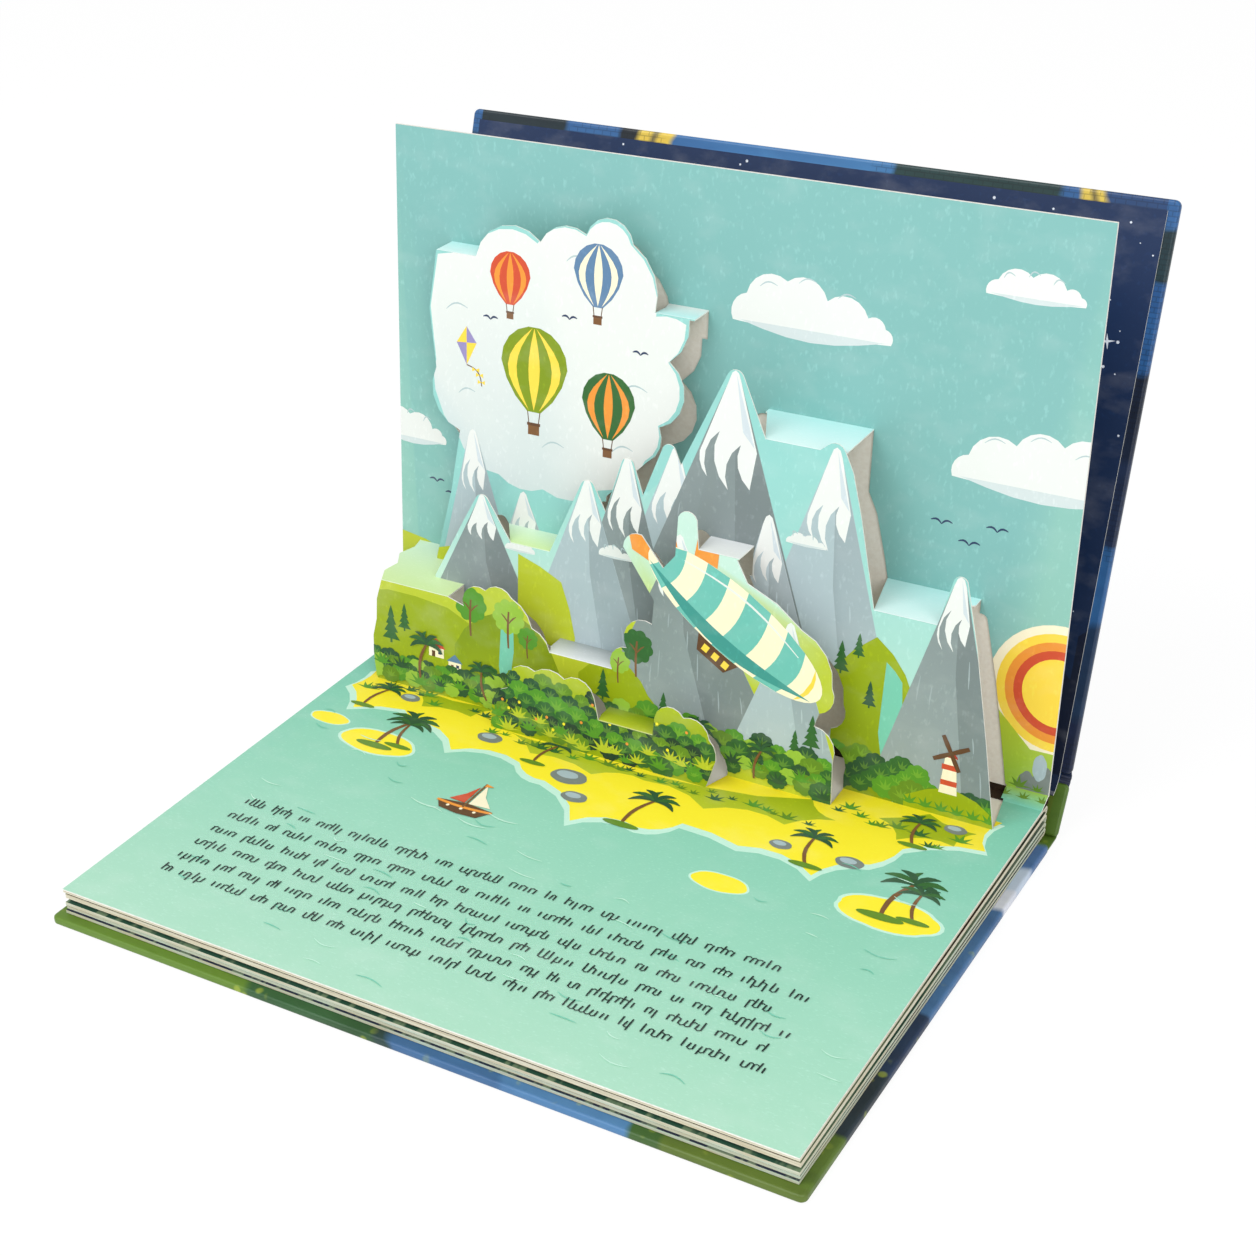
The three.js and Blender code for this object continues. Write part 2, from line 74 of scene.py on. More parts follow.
@dataclass(frozen=True)
class Spread:
    """The open spread's place: its two halves are planes that meet at the gutter.

    Sizes are in millimetres and angles in degrees, as in the part's source.
    """

    half_width: float = 130.0
    gutter_y: float = 100.0
    gutter_z: float = 15.3
    gutter_rise: float = 2.9
    gutter_ramp: float = 5.5
    lying_tilt: float = 0.87
    standing_lean: float = 4.73
    cloud_depth: float = 10.0
    peak_depth: float = 23.0
    hill_depth: float = 34.0
    bush_depth: float = 44.0

    @property
    def along(self) -> Vector:
        """Returns the direction up the lying page, towards the gutter."""
        tilt = math.radians(self.lying_tilt)
        return Vector((0, math.cos(tilt), math.sin(tilt)))

    @property
    def up(self) -> Vector:
        """Returns the direction up the standing page."""
        lean = math.radians(self.standing_lean)
        return Vector((0, math.sin(lean), math.cos(lean)))

    @property
    def matrix(self) -> Matrix:
        """Returns the matrix from (x, back, up) in the spread to the row frame, both in mm."""
        columns = (Vector((1, 0, 0)), self.along, self.up)
        matrix = Matrix.Identity(4)
        for i, column in enumerate(columns):
            matrix.col[i] = (*column, 0)
        matrix.col[3] = (0, self.gutter_y, self.gutter_z, 1)
        return matrix


SPREAD = Spread()


@dataclass(frozen=True)
class Case:
    """The cover boards, spine, hinge strips and endpaper, in millimetres and degrees."""

    half_width: float = 133.5
    board_thickness: float = 2.9
    front_pivot: Point = (113.3, 16.395)
    cover_lean: float = 18.2
    hinge_thickness: float = 0.75
    glue_gap: float = 0.2
    card_thickness: float = 0.45
    turned_border: float = 4.0
    slot_x: float = -38.0
    slot_margin: float = 4.0

    @property
    def border_start(self) -> float:
        """Returns the x where the border at the right end of a board begins."""
        return self.half_width - self.turned_border

    @property
    def cover_matrix(self) -> Matrix:
        """Returns the matrix from (x, up the cover, in from its outer face) to the row frame."""
        place = Matrix.Translation((0, *self.front_pivot))
        return place @ Matrix.Rotation(math.radians(90 - self.cover_lean), 4, "X")


CASE = Case()


# Colours


class Ink(Enum):
    """Inks of the print, as sRGB values from 0 to 255."""

    SKY = (126, 181, 177)
    SKY_LIGHT = (150, 200, 182)
    SKY_EDGE = (146, 206, 200)
    CLOUD = (228, 231, 227)
    CLOUD_SHADE = (206, 217, 217)
    CLOUD_LINE = (176, 196, 198)
    ROCK = (126, 138, 138)
    ROCK_LIGHT = (169, 187, 192)
    ROCK_PALE = (186, 200, 205)
    ROCK_DARK = (98, 108, 110)
    SNOW = (230, 232, 229)
    SNOW_SHADE = (204, 214, 220)
    HILL = (152, 170, 4)
    HILL_SHADE = (126, 148, 6)
    HILL_LIGHT = (186, 198, 44)
    GRASS = (98, 138, 32)
    LEAF = (84, 148, 38)
    LEAF_LIGHT = (150, 190, 60)
    LEAF_DARK = (47, 100, 44)
    PINE = (40, 82, 50)
    PINE_DARK = (28, 60, 42)
    SEA = (170, 217, 192)
    SEA_LIGHT = (196, 236, 217)
    SEA_DEEP = (119, 198, 174)
    SAND = (252, 234, 44)
    SAND_SHADE = (238, 220, 34)
    STONE = (122, 130, 126)
    TRUNK = (122, 82, 44)
    TEXT = (20, 34, 32)
    RED = (206, 76, 44)
    RED_DARK = (168, 52, 36)
    ORANGE = (236, 148, 52)
    YELLOW = (250, 214, 70)
    CREAM = (248, 238, 206)
    TEAL = (110, 190, 178)
    TEAL_DARK = (62, 150, 142)
    BLUE = (92, 128, 164)
    NAVY = (42, 58, 92)
    NIGHT = (20, 46, 86)
    NIGHT_DARK = (12, 34, 64)
    STAR = (222, 230, 240)
    VIOLET = (150, 140, 190)
    BROWN = (96, 62, 36)
    STRAP_TEAL = (192, 240, 238)
    STRAP_PALE = (222, 246, 243)
    STRAP_GREEN = (206, 232, 160)
    STRAP_MINT = (214, 240, 214)
    STRAP_GREY = (150, 160, 160)
    STRAP_WHITE = (228, 232, 233)
    MINT_EDGE = (196, 228, 214)


def linear(colour: Colour) -> tuple[float, float, float, float]:
    """Converts an sRGB colour to the linear RGBA that Blender's attributes hold.

    Args:
        colour: Red, green and blue from 0 to 255.

    Returns:
        Linear red, green and blue, and 1.
    """

    def channel(value: float) -> float:
        share = value / 255
        return share / 12.92 if share <= 0.04045 else ((share + 0.055) / 1.055) ** 2.4

    return (*[channel(value) for value in colour], 1.0)


def mixed(a: Colour, b: Colour, share: float) -> Colour:
    """Returns the colour that lies share of the way from a to b."""
    return tuple(round(p + (q - p) * share) for p, q in zip(a, b))


# Outlines


def traced(outline: list[tuple]) -> list[Point]:
    """Cuts the arcs of an outline into short straight steps.

    Args:
        outline: Corners as (x, y) or (x, y, bulge), going clockwise. The bulge is that of the arc
            to the next corner: 1 is a half circle.

    Returns:
        The points of the outline.
    """
    points = []
    for i, corner in enumerate(outline):
        x, y = corner[0], corner[1]
        bulge = corner[2] if len(corner) > 2 else 0
        next_x, next_y = outline[(i + 1) % len(outline)][:2]
        points.append((x, y))
        if not bulge:
            continue
        turn = 4 * math.atan(bulge)
        steps = max(2, math.ceil(abs(turn) / math.radians(20)))
        radius = math.hypot(next_x - x, next_y - y) / 2 / math.sin(turn / 2)
        heading = math.atan2(next_y - y, next_x - x) + turn / 2
        for step in range(1, steps):
            swept = turn * step / steps
            reach = 2 * radius * math.sin(swept / 2)
            along = heading - swept / 2
            points.append((x + reach * math.cos(along), y + reach * math.sin(along)))
    return points


def ellipse(x: float, y: float, rx: float, ry: float, tilt: float = 0, steps: int = 20) -> list[Point]:
    """Returns an ellipse round (x, y), turned by tilt degrees."""
    turn = math.radians(tilt)
    points = []
    for i in range(steps):
        angle = math.tau * i / steps
        along, across = rx * math.cos(angle), ry * math.sin(angle)
        points.append(
            (
                x + along * math.cos(turn) - across * math.sin(turn),
                y + along * math.sin(turn) + across * math.cos(turn),
            )
        )
    return points


def scalloped(
    x: float, y: float, rx: float, ry: float, lobes: int, depth: float, phase: float = 0
) -> list[Point]:
    """Returns a round outline with bumps, as of a bush or a tree's crown.

    Args:
        x: Centre.
        y: Centre.
        rx: Half width.
        ry: Half height.
        lobes: How many bumps go round it.
        depth: How deep the notches are, as a share of the radius.
        phase: Degrees that the bumps are turned by.

    Returns:
        The points of the outline.
    """
    points = []
    steps = lobes * 6
    for i in range(steps):
        angle = math.tau * i / steps
        bump = abs(math.sin(lobes * (angle + math.radians(phase)) / 2))
        radius = 1 - depth + depth * bump**0.7
        points.append((x + rx * radius * math.cos(angle), y + ry * radius * math.sin(angle)))
    return points


def cloud_outline(x: float, y: float, width: float, height: float, humps: list[float]) -> list[Point]:
    """Returns a flat-bottomed cloud.

    Args:
        x: Centre of its base.
        y: Height of its base.
        width: Its whole width.
        height: Height of the tallest hump.
        humps: Heights of the humps from left to right, as shares of the height.

    Returns:
        The points of the outline.
    """
    spread = width / len(humps)
    corners = [(x - width / 2, y, 0.5)]
    for i, hump in enumerate(humps):
        corner_x = x - width / 2 + spread * (i + 0.32)
        corners.append((corner_x, y + height * hump * 0.62, 0.55))
    corners.append((x + width / 2 - spread * 0.25, y + height * humps[-1] * 0.4, 0.55))
    corners.append((x + width / 2 - spread * 0.1, y, 0.06))
    return traced(corners)


def stroke(points: list[Point], width: float, taper: float = 0.35) -> list[Point]:
    """Returns the outline of a brush stroke along some points.

    Args:
        points: The stroke's middle line.
        width: Its width at the middle.
        taper: Its width at its ends, as a share of the middle's.

    Returns:
        The points of the outline.
    """
    left, right = [], []
    last = len(points) - 1
    for i, (x, y) in enumerate(points):
        ahead = points[min(i + 1, last)]
        behind = points[max(i - 1, 0)]
        length = math.hypot(ahead[0] - behind[0], ahead[1] - behind[1]) or 1
        across = ((behind[1] - ahead[1]) / length, (ahead[0] - behind[0]) / length)
        share = math.sin(math.pi * i / last)
        half = width / 2 * (taper + (1 - taper) * share)
        left.append((x + across[0] * half, y + across[1] * half))
        right.append((x - across[0] * half, y - across[1] * half))
    return left + right[::-1]


def bowed(start: Point, end: Point, bow: float, steps: int = 6) -> list[Point]:
    """Returns points from start to end that bow sideways by bow in the middle."""
    length = math.hypot(end[0] - start[0], end[1] - start[1]) or 1
    across = ((start[1] - end[1]) / length, (end[0] - start[0]) / length)
    points = []
    for i in range(steps + 1):
        share = i / steps
        out = bow * math.sin(math.pi * share)
        points.append(
            (
                start[0] + (end[0] - start[0]) * share + across[0] * out,
                start[1] + (end[1] - start[1]) * share + across[1] * out,
            )
        )
    return points


def scattered(i: int, share: float = GOLDEN_SHARE) -> float:
    """Returns the i-th of some values from 0 to 1 that keep clear of each other."""
    return i * share % 1


def rectangle(left: float, right: float, low: float, high: float) -> list[Point]:
    """Returns the corners of a rectangle."""
    return [(left, low), (right, low), (right, high), (left, high)]


# Print


@dataclass
class Field:
    """One flat field of ink: its outline, colour and place in the order of printing."""

    points: list[Point]
    colour: Colour
    rank: int
    fade: tuple[Colour, Point, Point] | None = None

    @property
    def reach(self) -> float:
        """Returns the longer side of its bounding box, in millimetres."""
        xs, ys = zip(*self.points)
        return max(max(xs) - min(xs), max(ys) - min(ys))

    def tint(self, point: Point) -> tuple[float, float, float, float]:
        """Returns the field's linear colour at a point."""
        if self.fade is None:
            return linear(self.colour)
        second, start, end = self.fade
        run = (end[0] - start[0], end[1] - start[1])
        length = run[0] ** 2 + run[1] ** 2
        share = ((point[0] - start[0]) * run[0] + (point[1] - start[1]) * run[1]) / length
        return linear(mixed(self.colour, second, min(1, max(0, share))))


@dataclass
class Plate:
    """The print of one face of card, built as thin closed fields of ink one over another.

    Attributes:
        name: The piece's name.
        fields: What is printed, in any order.
        rank: The rank that the next field gets.
    """

    name: str
    fields: list[Field] = field(default_factory=list)
    rank: int = 0

    def add(
        self, points: list[Point], ink: Ink | Colour, same: bool = False, fade: tuple | None = None
    ) -> None:
        """Prints one field over all that is there.

        Args:
            points: Its outline.
            ink: Its colour.
            same: Whether it shares the last field's rank, which is for fields that don't overlap.
            fade: A second colour with the points where the first one ends and it begins.
        """
        colour = ink.value if isinstance(ink, Ink) else ink
        if not same:
            self.rank += 1
        if fade is not None:
            second, start, end = fade
            fade = (second.value if isinstance(second, Ink) else second, start, end)
        self.fields.append(Field(points, colour, self.rank, fade))

    def mesh(
        self, chosen: list[int], step: float = 0.0016, thickness: float = 0.0012, lift: float = 0.012
    ) -> bpy.types.Object:
        """Builds fields as thin slabs in the plane of the card, in millimetres.

        Args:
            chosen: The numbers of the fields.
            step: Height from one rank to the next.
            thickness: Thickness of one field.
            lift: Height of the lowest field over the card.

        Returns:
            The new object, with the number of its field on each face.
        """
        vertices, faces, numbers = [], [], []
        for number in chosen:
            one = self.fields[number]
            points = one.points if area(one.points) > 0 else one.points[::-1]
            count = len(points)
            base = len(vertices)
            low = lift + one.rank * step
            vertices += [(x, y, low) for x, y in points]
            vertices += [(x, y, low + thickness) for x, y in points]
            bottom = list(range(base, base + count))
            top = list(range(base + count, base + 2 * count))
            rings = [bottom[::-1], top]
            for i in range(count):
                ahead = (i + 1) % count
                rings.append([bottom[i], bottom[ahead], top[ahead], top[i]])
            faces += rings
            numbers += [number] * len(rings)
        data = bpy.data.meshes.new(self.name)
        data.from_pydata(vertices, [], faces)
        data.attributes.new("field", "INT", "FACE").data.foreach_set("value", numbers)
        made = bpy.data.objects.new(self.name, data)
        bpy.context.collection.objects.link(made)
        return made

    def colour(self, data: bpy.types.Mesh) -> None:
        """Gives each face corner of the cut print the ink of its field at that place."""
        numbers = data.attributes["field"].data
        colours = []
        for polygon in data.polygons:
            one = self.fields[numbers[polygon.index].value]
            for corner in polygon.vertices:
                place = data.vertices[corner].co
                colours.append(one.tint((place.x, place.y)))
        layer = data.color_attributes.new("ink", "FLOAT_COLOR", "CORNER")
        layer.data.foreach_set("color", np.array(colours, np.float32).ravel())


def area(points: list[Point]) -> float:
    """Returns the signed area of a closed outline, positive when it goes anticlockwise."""
    total = 0.0
    for i, (x, y) in enumerate(points):
        next_x, next_y = points[(i + 1) % len(points)]
        total += x * next_y - next_x * y
    return total / 2


# Motifs


def draw_cloud(plate: Plate, x: float, y: float, width: float, height: float, humps: list[float]) -> None:
    """Prints a cloud with a shaded base and a few pencil lines."""
    plate.add(cloud_outline(x, y, width, height, humps), Ink.CLOUD)
    base = [(x - width * 0.46, y + 0.4), (x + width * 0.44, y + 0.4)]
    shade = bowed(base[1], base[0], height * 0.16)
    plate.add([*base, *shade[1:-1]], Ink.CLOUD_SHADE)
    for i, share in enumerate((0.22, 0.46, 0.7)):
        middle = (x - width / 2 + width * share, y + height * (0.5 + 0.12 * (i % 2)))
        curl = bowed((middle[0] - width * 0.06, middle[1]), (middle[0] + width * 0.05, middle[1] + 1), 1.4)
        plate.add(stroke(curl, 0.5), Ink.CLOUD_LINE, same=i > 0)


def draw_peak(
    plate: Plate, apex: Point, left: float, right: float, foot: float, tone: Ink, seed: int
) -> None:
    """Prints a mountain with a snow cap, a shaded side and brush strokes.

    Args:
        plate: The print that it goes on.
        apex: Its top.
        left: Where its left slope meets its foot.
        right: Where its right slope meets its foot.
        foot: Height of its foot.
        tone: Colour of its sunny side.
        seed: Seed of its strokes.
    """
    draw = random.Random(seed)
    top_x, top_y = apex
    rise = top_y - foot
    round_top = [(top_x - 2.1, top_y - 3.4), (top_x - 1.2, top_y - 0.9), (top_x, top_y),
                 (top_x + 1.2, top_y - 0.9)]
    plate.add([(left, foot), *round_top, (top_x + 2.1, top_y - 3.4), (right, foot)], tone,
              fade=(mixed(tone.value, Ink.ROCK_PALE.value, 0.45), (0, top_y - rise * 0.3), (0, foot)))
    ridge = [(top_x, top_y - 1), (top_x + 2.1, top_y - 4), (right, foot),
             (top_x + (right - top_x) * 0.35, foot)]
    notch = (top_x + (right - top_x) * 0.06, top_y - rise * 0.45)
    plate.add([ridge[0], ridge[1], ridge[2], ridge[3], notch], mixed(tone.value, Ink.ROCK_DARK.value, 0.26),
              fade=(tone, (0, top_y - rise * 0.5), (0, foot)))
    columns = max(4, int((right - left) / 4.2))
    for i in range(columns):
        across = (i + 0.5) / columns * 2 - 1
        share = draw.uniform(max(0.36, abs(across)), 1.0) * 0.9
        y = top_y - rise * share
        x = top_x + ((right - top_x) if across > 0 else (top_x - left)) * across * 0.86
        line = bowed((x, y), (x + across * 1.6, y - draw.uniform(5, 10)), 0.2 * across, 4)
        plate.add(stroke(line, 0.5), mixed(tone.value, Ink.ROCK_PALE.value, 0.5), same=i > 0)
    cap = max(8.5, rise * 0.24)
    slope_left, slope_right = (left - top_x) / rise, (right - top_x) / rise
    teeth = [(top_x + slope_left * cap * 0.86, top_y - cap * 0.86)]
    for i in range(5):
        share = (i + 0.5) / 5
        width = (slope_right - slope_left) * cap * 0.86
        drop = (1.3 if i % 2 == 0 else 0.72) + draw.uniform(-0.08, 0.12)
        teeth.append((top_x + slope_left * cap * 0.86 + width * share, top_y - cap * drop, 0.35 * (-1) ** i))
    teeth.append((top_x + slope_right * cap * 0.86, top_y - cap * 0.86))
    snow = [*round_top, (top_x + 2.1, top_y - 3.4), *traced(teeth[::-1])[:-1]]
    plate.add(snow, Ink.SNOW)
    plate.add([(top_x + 0.4, top_y - 1.2), (top_x + slope_right * cap * 0.78, top_y - cap * 0.82),
               (top_x + slope_right * cap * 0.35, top_y - cap * 0.66)], Ink.SNOW_SHADE)


def draw_pine(plate: Plate, x: float, y: float, height: float, ink: Ink = Ink.PINE) -> None:
    """Prints a fir tree of four tiers."""
    half = height * 0.26
    outline = [(x - half * 0.12, y), (x + half * 0.12, y), (x + half * 0.12, y + height * 0.1)]
    left = [(x - half * 0.12, y + height * 0.1)]
    for i in range(4):
        low = y + height * (0.1 + 0.2 * i)
        wide = half * (1 - 0.21 * i)
        outline += [(x + wide, low), (x + wide * 0.42, low + height * 0.19)]
        left += [(x - wide, low), (x - wide * 0.42, low + height * 0.19)]
    plate.add([*outline, (x, y + height), *left[::-1]], ink)


def draw_tree(plate: Plate, x: float, y: float, height: float, ink: Ink, seed: int) -> None:
    """Prints a round tree with a forked trunk."""
    radius = height * 0.36
    middle = y + height - radius
    plate.add(scalloped(x, middle, radius, radius, 9, 0.16, seed * 17), ink)
    plate.add(stroke(bowed((x, y), (x, middle + radius * 0.3), 0.3, 4), height * 0.05, 0.8), Ink.TRUNK)
    for side in (-1, 1):
        end = (x + side * radius * 0.45, middle + radius * 0.1)
        plate.add(stroke(bowed((x, middle - radius * 0.4), end, 0.3 * side, 3),
                         height * 0.035), Ink.TRUNK)


def draw_bush(plate: Plate, x: float, y: float, radius: float, ink: Ink, seed: int) -> None:
    """Prints a leafy bush: a scalloped crown with small leaf strokes."""
    draw = random.Random(seed)
    plate.add(scalloped(x, y, radius, radius * 0.85, 8, 0.15, seed * 23), ink)
    light = mixed(ink.value, Ink.LEAF_LIGHT.value, 0.4)
    turn = draw.uniform(-12, 12)
    plate.add(fan(x, y - radius * 0.2, radius * draw.uniform(0.7, 0.85), 5, 25 + turn, 155 + turn), light)


def fan(x: float, y: float, reach: float, blades: int, low: float = 12, high: float = 168) -> list[Point]:
    """Returns a fan of pointed leaves as one outline, between two angles in degrees."""
    points = []
    step = (high - low) / (blades - 1)
    for i in range(blades):
        tip = math.radians(low + step * i)
        valley = tip + math.radians(step / 2)
        points.append((x + reach * math.cos(tip), y + reach * math.sin(tip)))
        if i < blades - 1 or high - low > 300:
            points.append((x + reach * 0.42 * math.cos(valley), y + reach * 0.42 * math.sin(valley)))
    return points if high - low > 300 else [(x + reach * 0.1, y), *points, (x - reach * 0.1, y)]


def draw_fan(plate: Plate, x: float, y: float, reach: float, ink: Ink, blades: int = 7) -> None:
    """Prints a fan of pointed leaves that rises from one foot."""
    plate.add(fan(x, y, reach, blades), ink)


def draw_palm(plate: Plate, x: float, y: float, height: float, lean: float = 0.2, flat: bool = False) -> None:
    """Prints a palm tree; flat draws it as seen on the ground, with a short shadow."""
    top = (x + height * lean, y + height)
    plate.add(stroke(bowed((x, y), top, height * 0.1, 5), height * 0.09, 0.7), Ink.TRUNK)
    if flat:
        plate.add(ellipse(x, y, height * 0.4, height * 0.09), Ink.GRASS)
    for i in range(7):
        angle = math.radians(-24 + 228 * i / 6)
        tip = (top[0] + height * 0.55 * math.cos(angle), top[1] + height * 0.38 * math.sin(angle))
        bow = height * 0.1 * (1 if math.cos(angle) < 0 else -1)
        plate.add(stroke(bowed(top, tip, -bow, 5), height * 0.13, 0.15), Ink.LEAF_DARK if i % 2 else Ink.PINE)


def draw_balloon(
    plate: Plate, x: float, y: float, radius: float, first: Ink, second: Ink, basket: Ink
) -> None:
    """Prints a striped hot-air balloon; (x, y) is the middle of its envelope."""
    envelope = [(x - radius, y + radius * 0.12, 1.0), (x + radius, y + radius * 0.12, 0.18),
                (x + radius * 0.2, y - radius * 1.16), (x - radius * 0.2, y - radius * 1.16, 0.18)]
    plate.add(traced(envelope), first)
    for share in (-0.56, 0.0, 0.56):
        wide = 0.34 * (1 - abs(share) * 0.4)
        top = (x + radius * share * 0.1, y + radius * 1.08)
        low = (x + radius * share * 0.28, y - radius * 1.12)
        left = bowed(top, low, radius * (-share + wide / 2) * -1.0, 8)
        right = bowed(top, low, radius * (-share - wide / 2) * -1.0, 8)
        plate.add([*left, *right[::-1]], second, same=share > -0.5)
    for side in (-1, 1):
        line = [(x + side * radius * 0.19, y - radius * 1.14), (x + side * radius * 0.14, y - radius * 1.5)]
        plate.add(stroke(line, 0.35, 1.0), Ink.BROWN, same=side > 0)
    plate.add(rectangle(x - radius * 0.17, x + radius * 0.17, y - radius * 1.78, y - radius * 1.48), basket)
    plate.add(rectangle(x - radius * 0.2, x + radius * 0.2, y - radius * 1.53, y - radius * 1.45), Ink.BROWN)


def draw_kite(plate: Plate, x: float, y: float, size: float, first: Ink, second: Ink) -> None:
    """Prints a diamond kite with a tail of bows."""
    left, right = (x - size * 0.6, y + size * 0.1), (x + size * 0.6, y + size * 0.2)
    top, low = (x, y + size), (x, y - size)
    plate.add([left, low, right, top], first)
    plate.add([left, (x, y + size * 0.15), top], second)
    plate.add([(x, y + size * 0.15), low, right], second, same=True)
    tail = bowed(low, (x + size * 0.9, y - size * 2.0), size * 0.3, 8)
    plate.add(stroke(tail, 0.4, 1.0), Ink.BROWN)
    for i in (3, 5, 7):
        bow_x, bow_y = tail[i]
        for side in (-1, 1):
            end = bow_x + side * 1.5
            plate.add([(end, bow_y - 0.8), (bow_x, bow_y), (end, bow_y + 0.8)], second)


def draw_birds(plate: Plate, places: list[Point], span: float) -> None:
    """Prints small birds, each as two bowed strokes."""
    for x, y in places:
        for side in (-1, 1):
            wing = bowed((x, y), (x + side * span / 2, y + span * 0.12), side * span * 0.13, 5)
            plate.add(stroke(wing, 0.75, 0.4), Ink.NAVY)


def draw_house(plate: Plate, x: float, y: float, size: float, wall: Ink, roof: Ink) -> None:
    """Prints a small house with a door and a window."""
    plate.add(rectangle(x - size * 0.5, x + size * 0.5, y, y + size * 0.62), wall)
    eaves = y + size * 0.58
    plate.add([(x - size * 0.62, eaves), (x + size * 0.62, eaves), (x, y + size * 1.15)], roof)
    plate.add(rectangle(x - size * 0.3, x - size * 0.08, y, y + size * 0.36), Ink.BROWN)
    window = rectangle(x + size * 0.12, x + size * 0.34, y + size * 0.2, y + size * 0.42)
    plate.add(window, Ink.NAVY, same=True)


def draw_windmill(plate: Plate, x: float, y: float, height: float) -> None:
    """Prints a windmill with four sails."""
    plate.add([(x - height * 0.17, y), (x + height * 0.17, y), (x + height * 0.1, y + height * 0.72),
               (x - height * 0.1, y + height * 0.72)], Ink.CREAM)
    for i in range(2):
        low = y + height * (0.16 + 0.3 * i)
        band = rectangle(x - height * 0.15, x + height * 0.15, low, low + height * 0.1)
        plate.add(band, Ink.RED, same=i > 0)
    cap = traced([(x - height * 0.13, y + height * 0.7, 0.8), (x + height * 0.13, y + height * 0.7)])
    plate.add(cap, Ink.RED_DARK)
    hub = (x, y + height * 0.78)
    for i in range(4):
        angle = math.radians(28 + 90 * i)
        tip = (hub[0] + height * 0.36 * math.cos(angle), hub[1] + height * 0.36 * math.sin(angle))
        plate.add(stroke([hub, mixed_point(hub, tip, 0.5), tip], height * 0.09, 0.8), Ink.BROWN)


def mixed_point(a: Point, b: Point, share: float) -> Point:
    """Returns the point that lies share of the way from a to b."""
    return (a[0] + (b[0] - a[0]) * share, a[1] + (b[1] - a[1]) * share)


def draw_boat(plate: Plate, x: float, y: float, size: float) -> None:
    """Prints a small sailing boat with two plain sails."""
    hull = [(x - size, y + size * 0.1), (x - size * 0.72, y - size * 0.3, -0.1),
            (x + size * 0.7, y - size * 0.34),
            (x + size * 1.05, y + size * 0.16, -0.12)]
    plate.add(traced(hull), Ink.BROWN)
    rail = bowed((x - size, y + size * 0.06), (x + size * 1.04, y + size * 0.1), -size * 0.08)
    plate.add(stroke(rail, size * 0.12, 0.9),
              Ink.ORANGE)
    plate.add(stroke([(x, y), (x, y + size * 0.8), (x, y + size * 1.5)], size * 0.07, 1.0), Ink.TRUNK)
    plate.add(traced([(x + size * 0.08, y + size * 0.24), (x + size * 0.86, y + size * 0.3, 0.16),
                      (x + size * 0.08, y + size * 1.42)]), Ink.CREAM)
    plate.add(traced([(x - size * 0.08, y + size * 0.24), (x - size * 0.08, y + size * 1.26, 0.14),
                      (x - size * 0.68, y + size * 0.28)]), Ink.RED, same=True)
    plate.add([(x, y + size * 1.5), (x + size * 0.32, y + size * 1.42), (x, y + size * 1.32)], Ink.ORANGE)
    for i in range(3):
        middle = x - size * 0.5 + size * 0.5 * i
        porthole = ellipse(middle, y - size * 0.1, size * 0.06, size * 0.06, steps=10)
        plate.add(porthole, Ink.CREAM, same=i > 0)


def draw_rings(plate: Plate, x: float, y: float, radius: float, inks: list[Ink]) -> None:
    """Prints discs inside one another, the largest first."""
    for i, ink in enumerate(inks):
        size = radius * (1 - i / len(inks) * 0.62)
        plate.add(ellipse(x, y, size, size, steps=40), ink)


# Artwork of each card


def print_sky() -> Plate:
    """Returns the print of the standing page."""
    plate = Plate("sky_print")
    draw = random.Random(11)
    plate.add(rectangle(-140, 140, -5, 205), Ink.SKY, fade=(Ink.SKY_LIGHT, (0, 50), (0, 16)))
    draw_cloud(plate, 34, 146, 58, 25, [0.62, 1.0, 0.72, 0.5])
    draw_cloud(plate, 108, 168, 33, 11, [0.7, 1.0, 0.66])
    draw_cloud(plate, 117, 107, 62, 26, [0.5, 0.86, 1.0, 0.9])
    draw_cloud(plate, -124, 80, 30, 15, [0.9, 1.0, 0.55])
    draw_birds(plate, [(84, 90), (94, 84.5), (103, 91)], 7.5)
    draw_birds(plate, [(-114, 65), (-107, 61)], 6.5)
    draw_rings(plate, 129, 40, 24, [Ink.CREAM, Ink.YELLOW, Ink.ORANGE, Ink.RED, Ink.YELLOW])
    hills = [(-140, -5), (-140, 44, 0.1), (-100, 34, -0.08), (-60, 40, 0.1), (-20, 30), (40, 30, 0.1),
             (90, 42, 0.12), (122, 18, -0.1), (140, 20), (140, -5)]
    plate.add(traced(hills), Ink.HILL_LIGHT, fade=(Ink.LEAF_LIGHT, (0, 34), (0, 4)))
    for x, y, size in ((122, 3, 7), (128, 4, 9), (126, 12, 5)):
        plate.add(scalloped(x, y, size * 0.5, size, 6, 0.08, x), Ink.STONE if size > 6 else Ink.ROCK_LIGHT)
    for i in range(26):
        x = -128 + 256 * i / 25 + draw.uniform(-2, 2)
        draw_fan(plate, x, 3.2, draw.uniform(2.5, 5), Ink.GRASS, 5)
    return plate


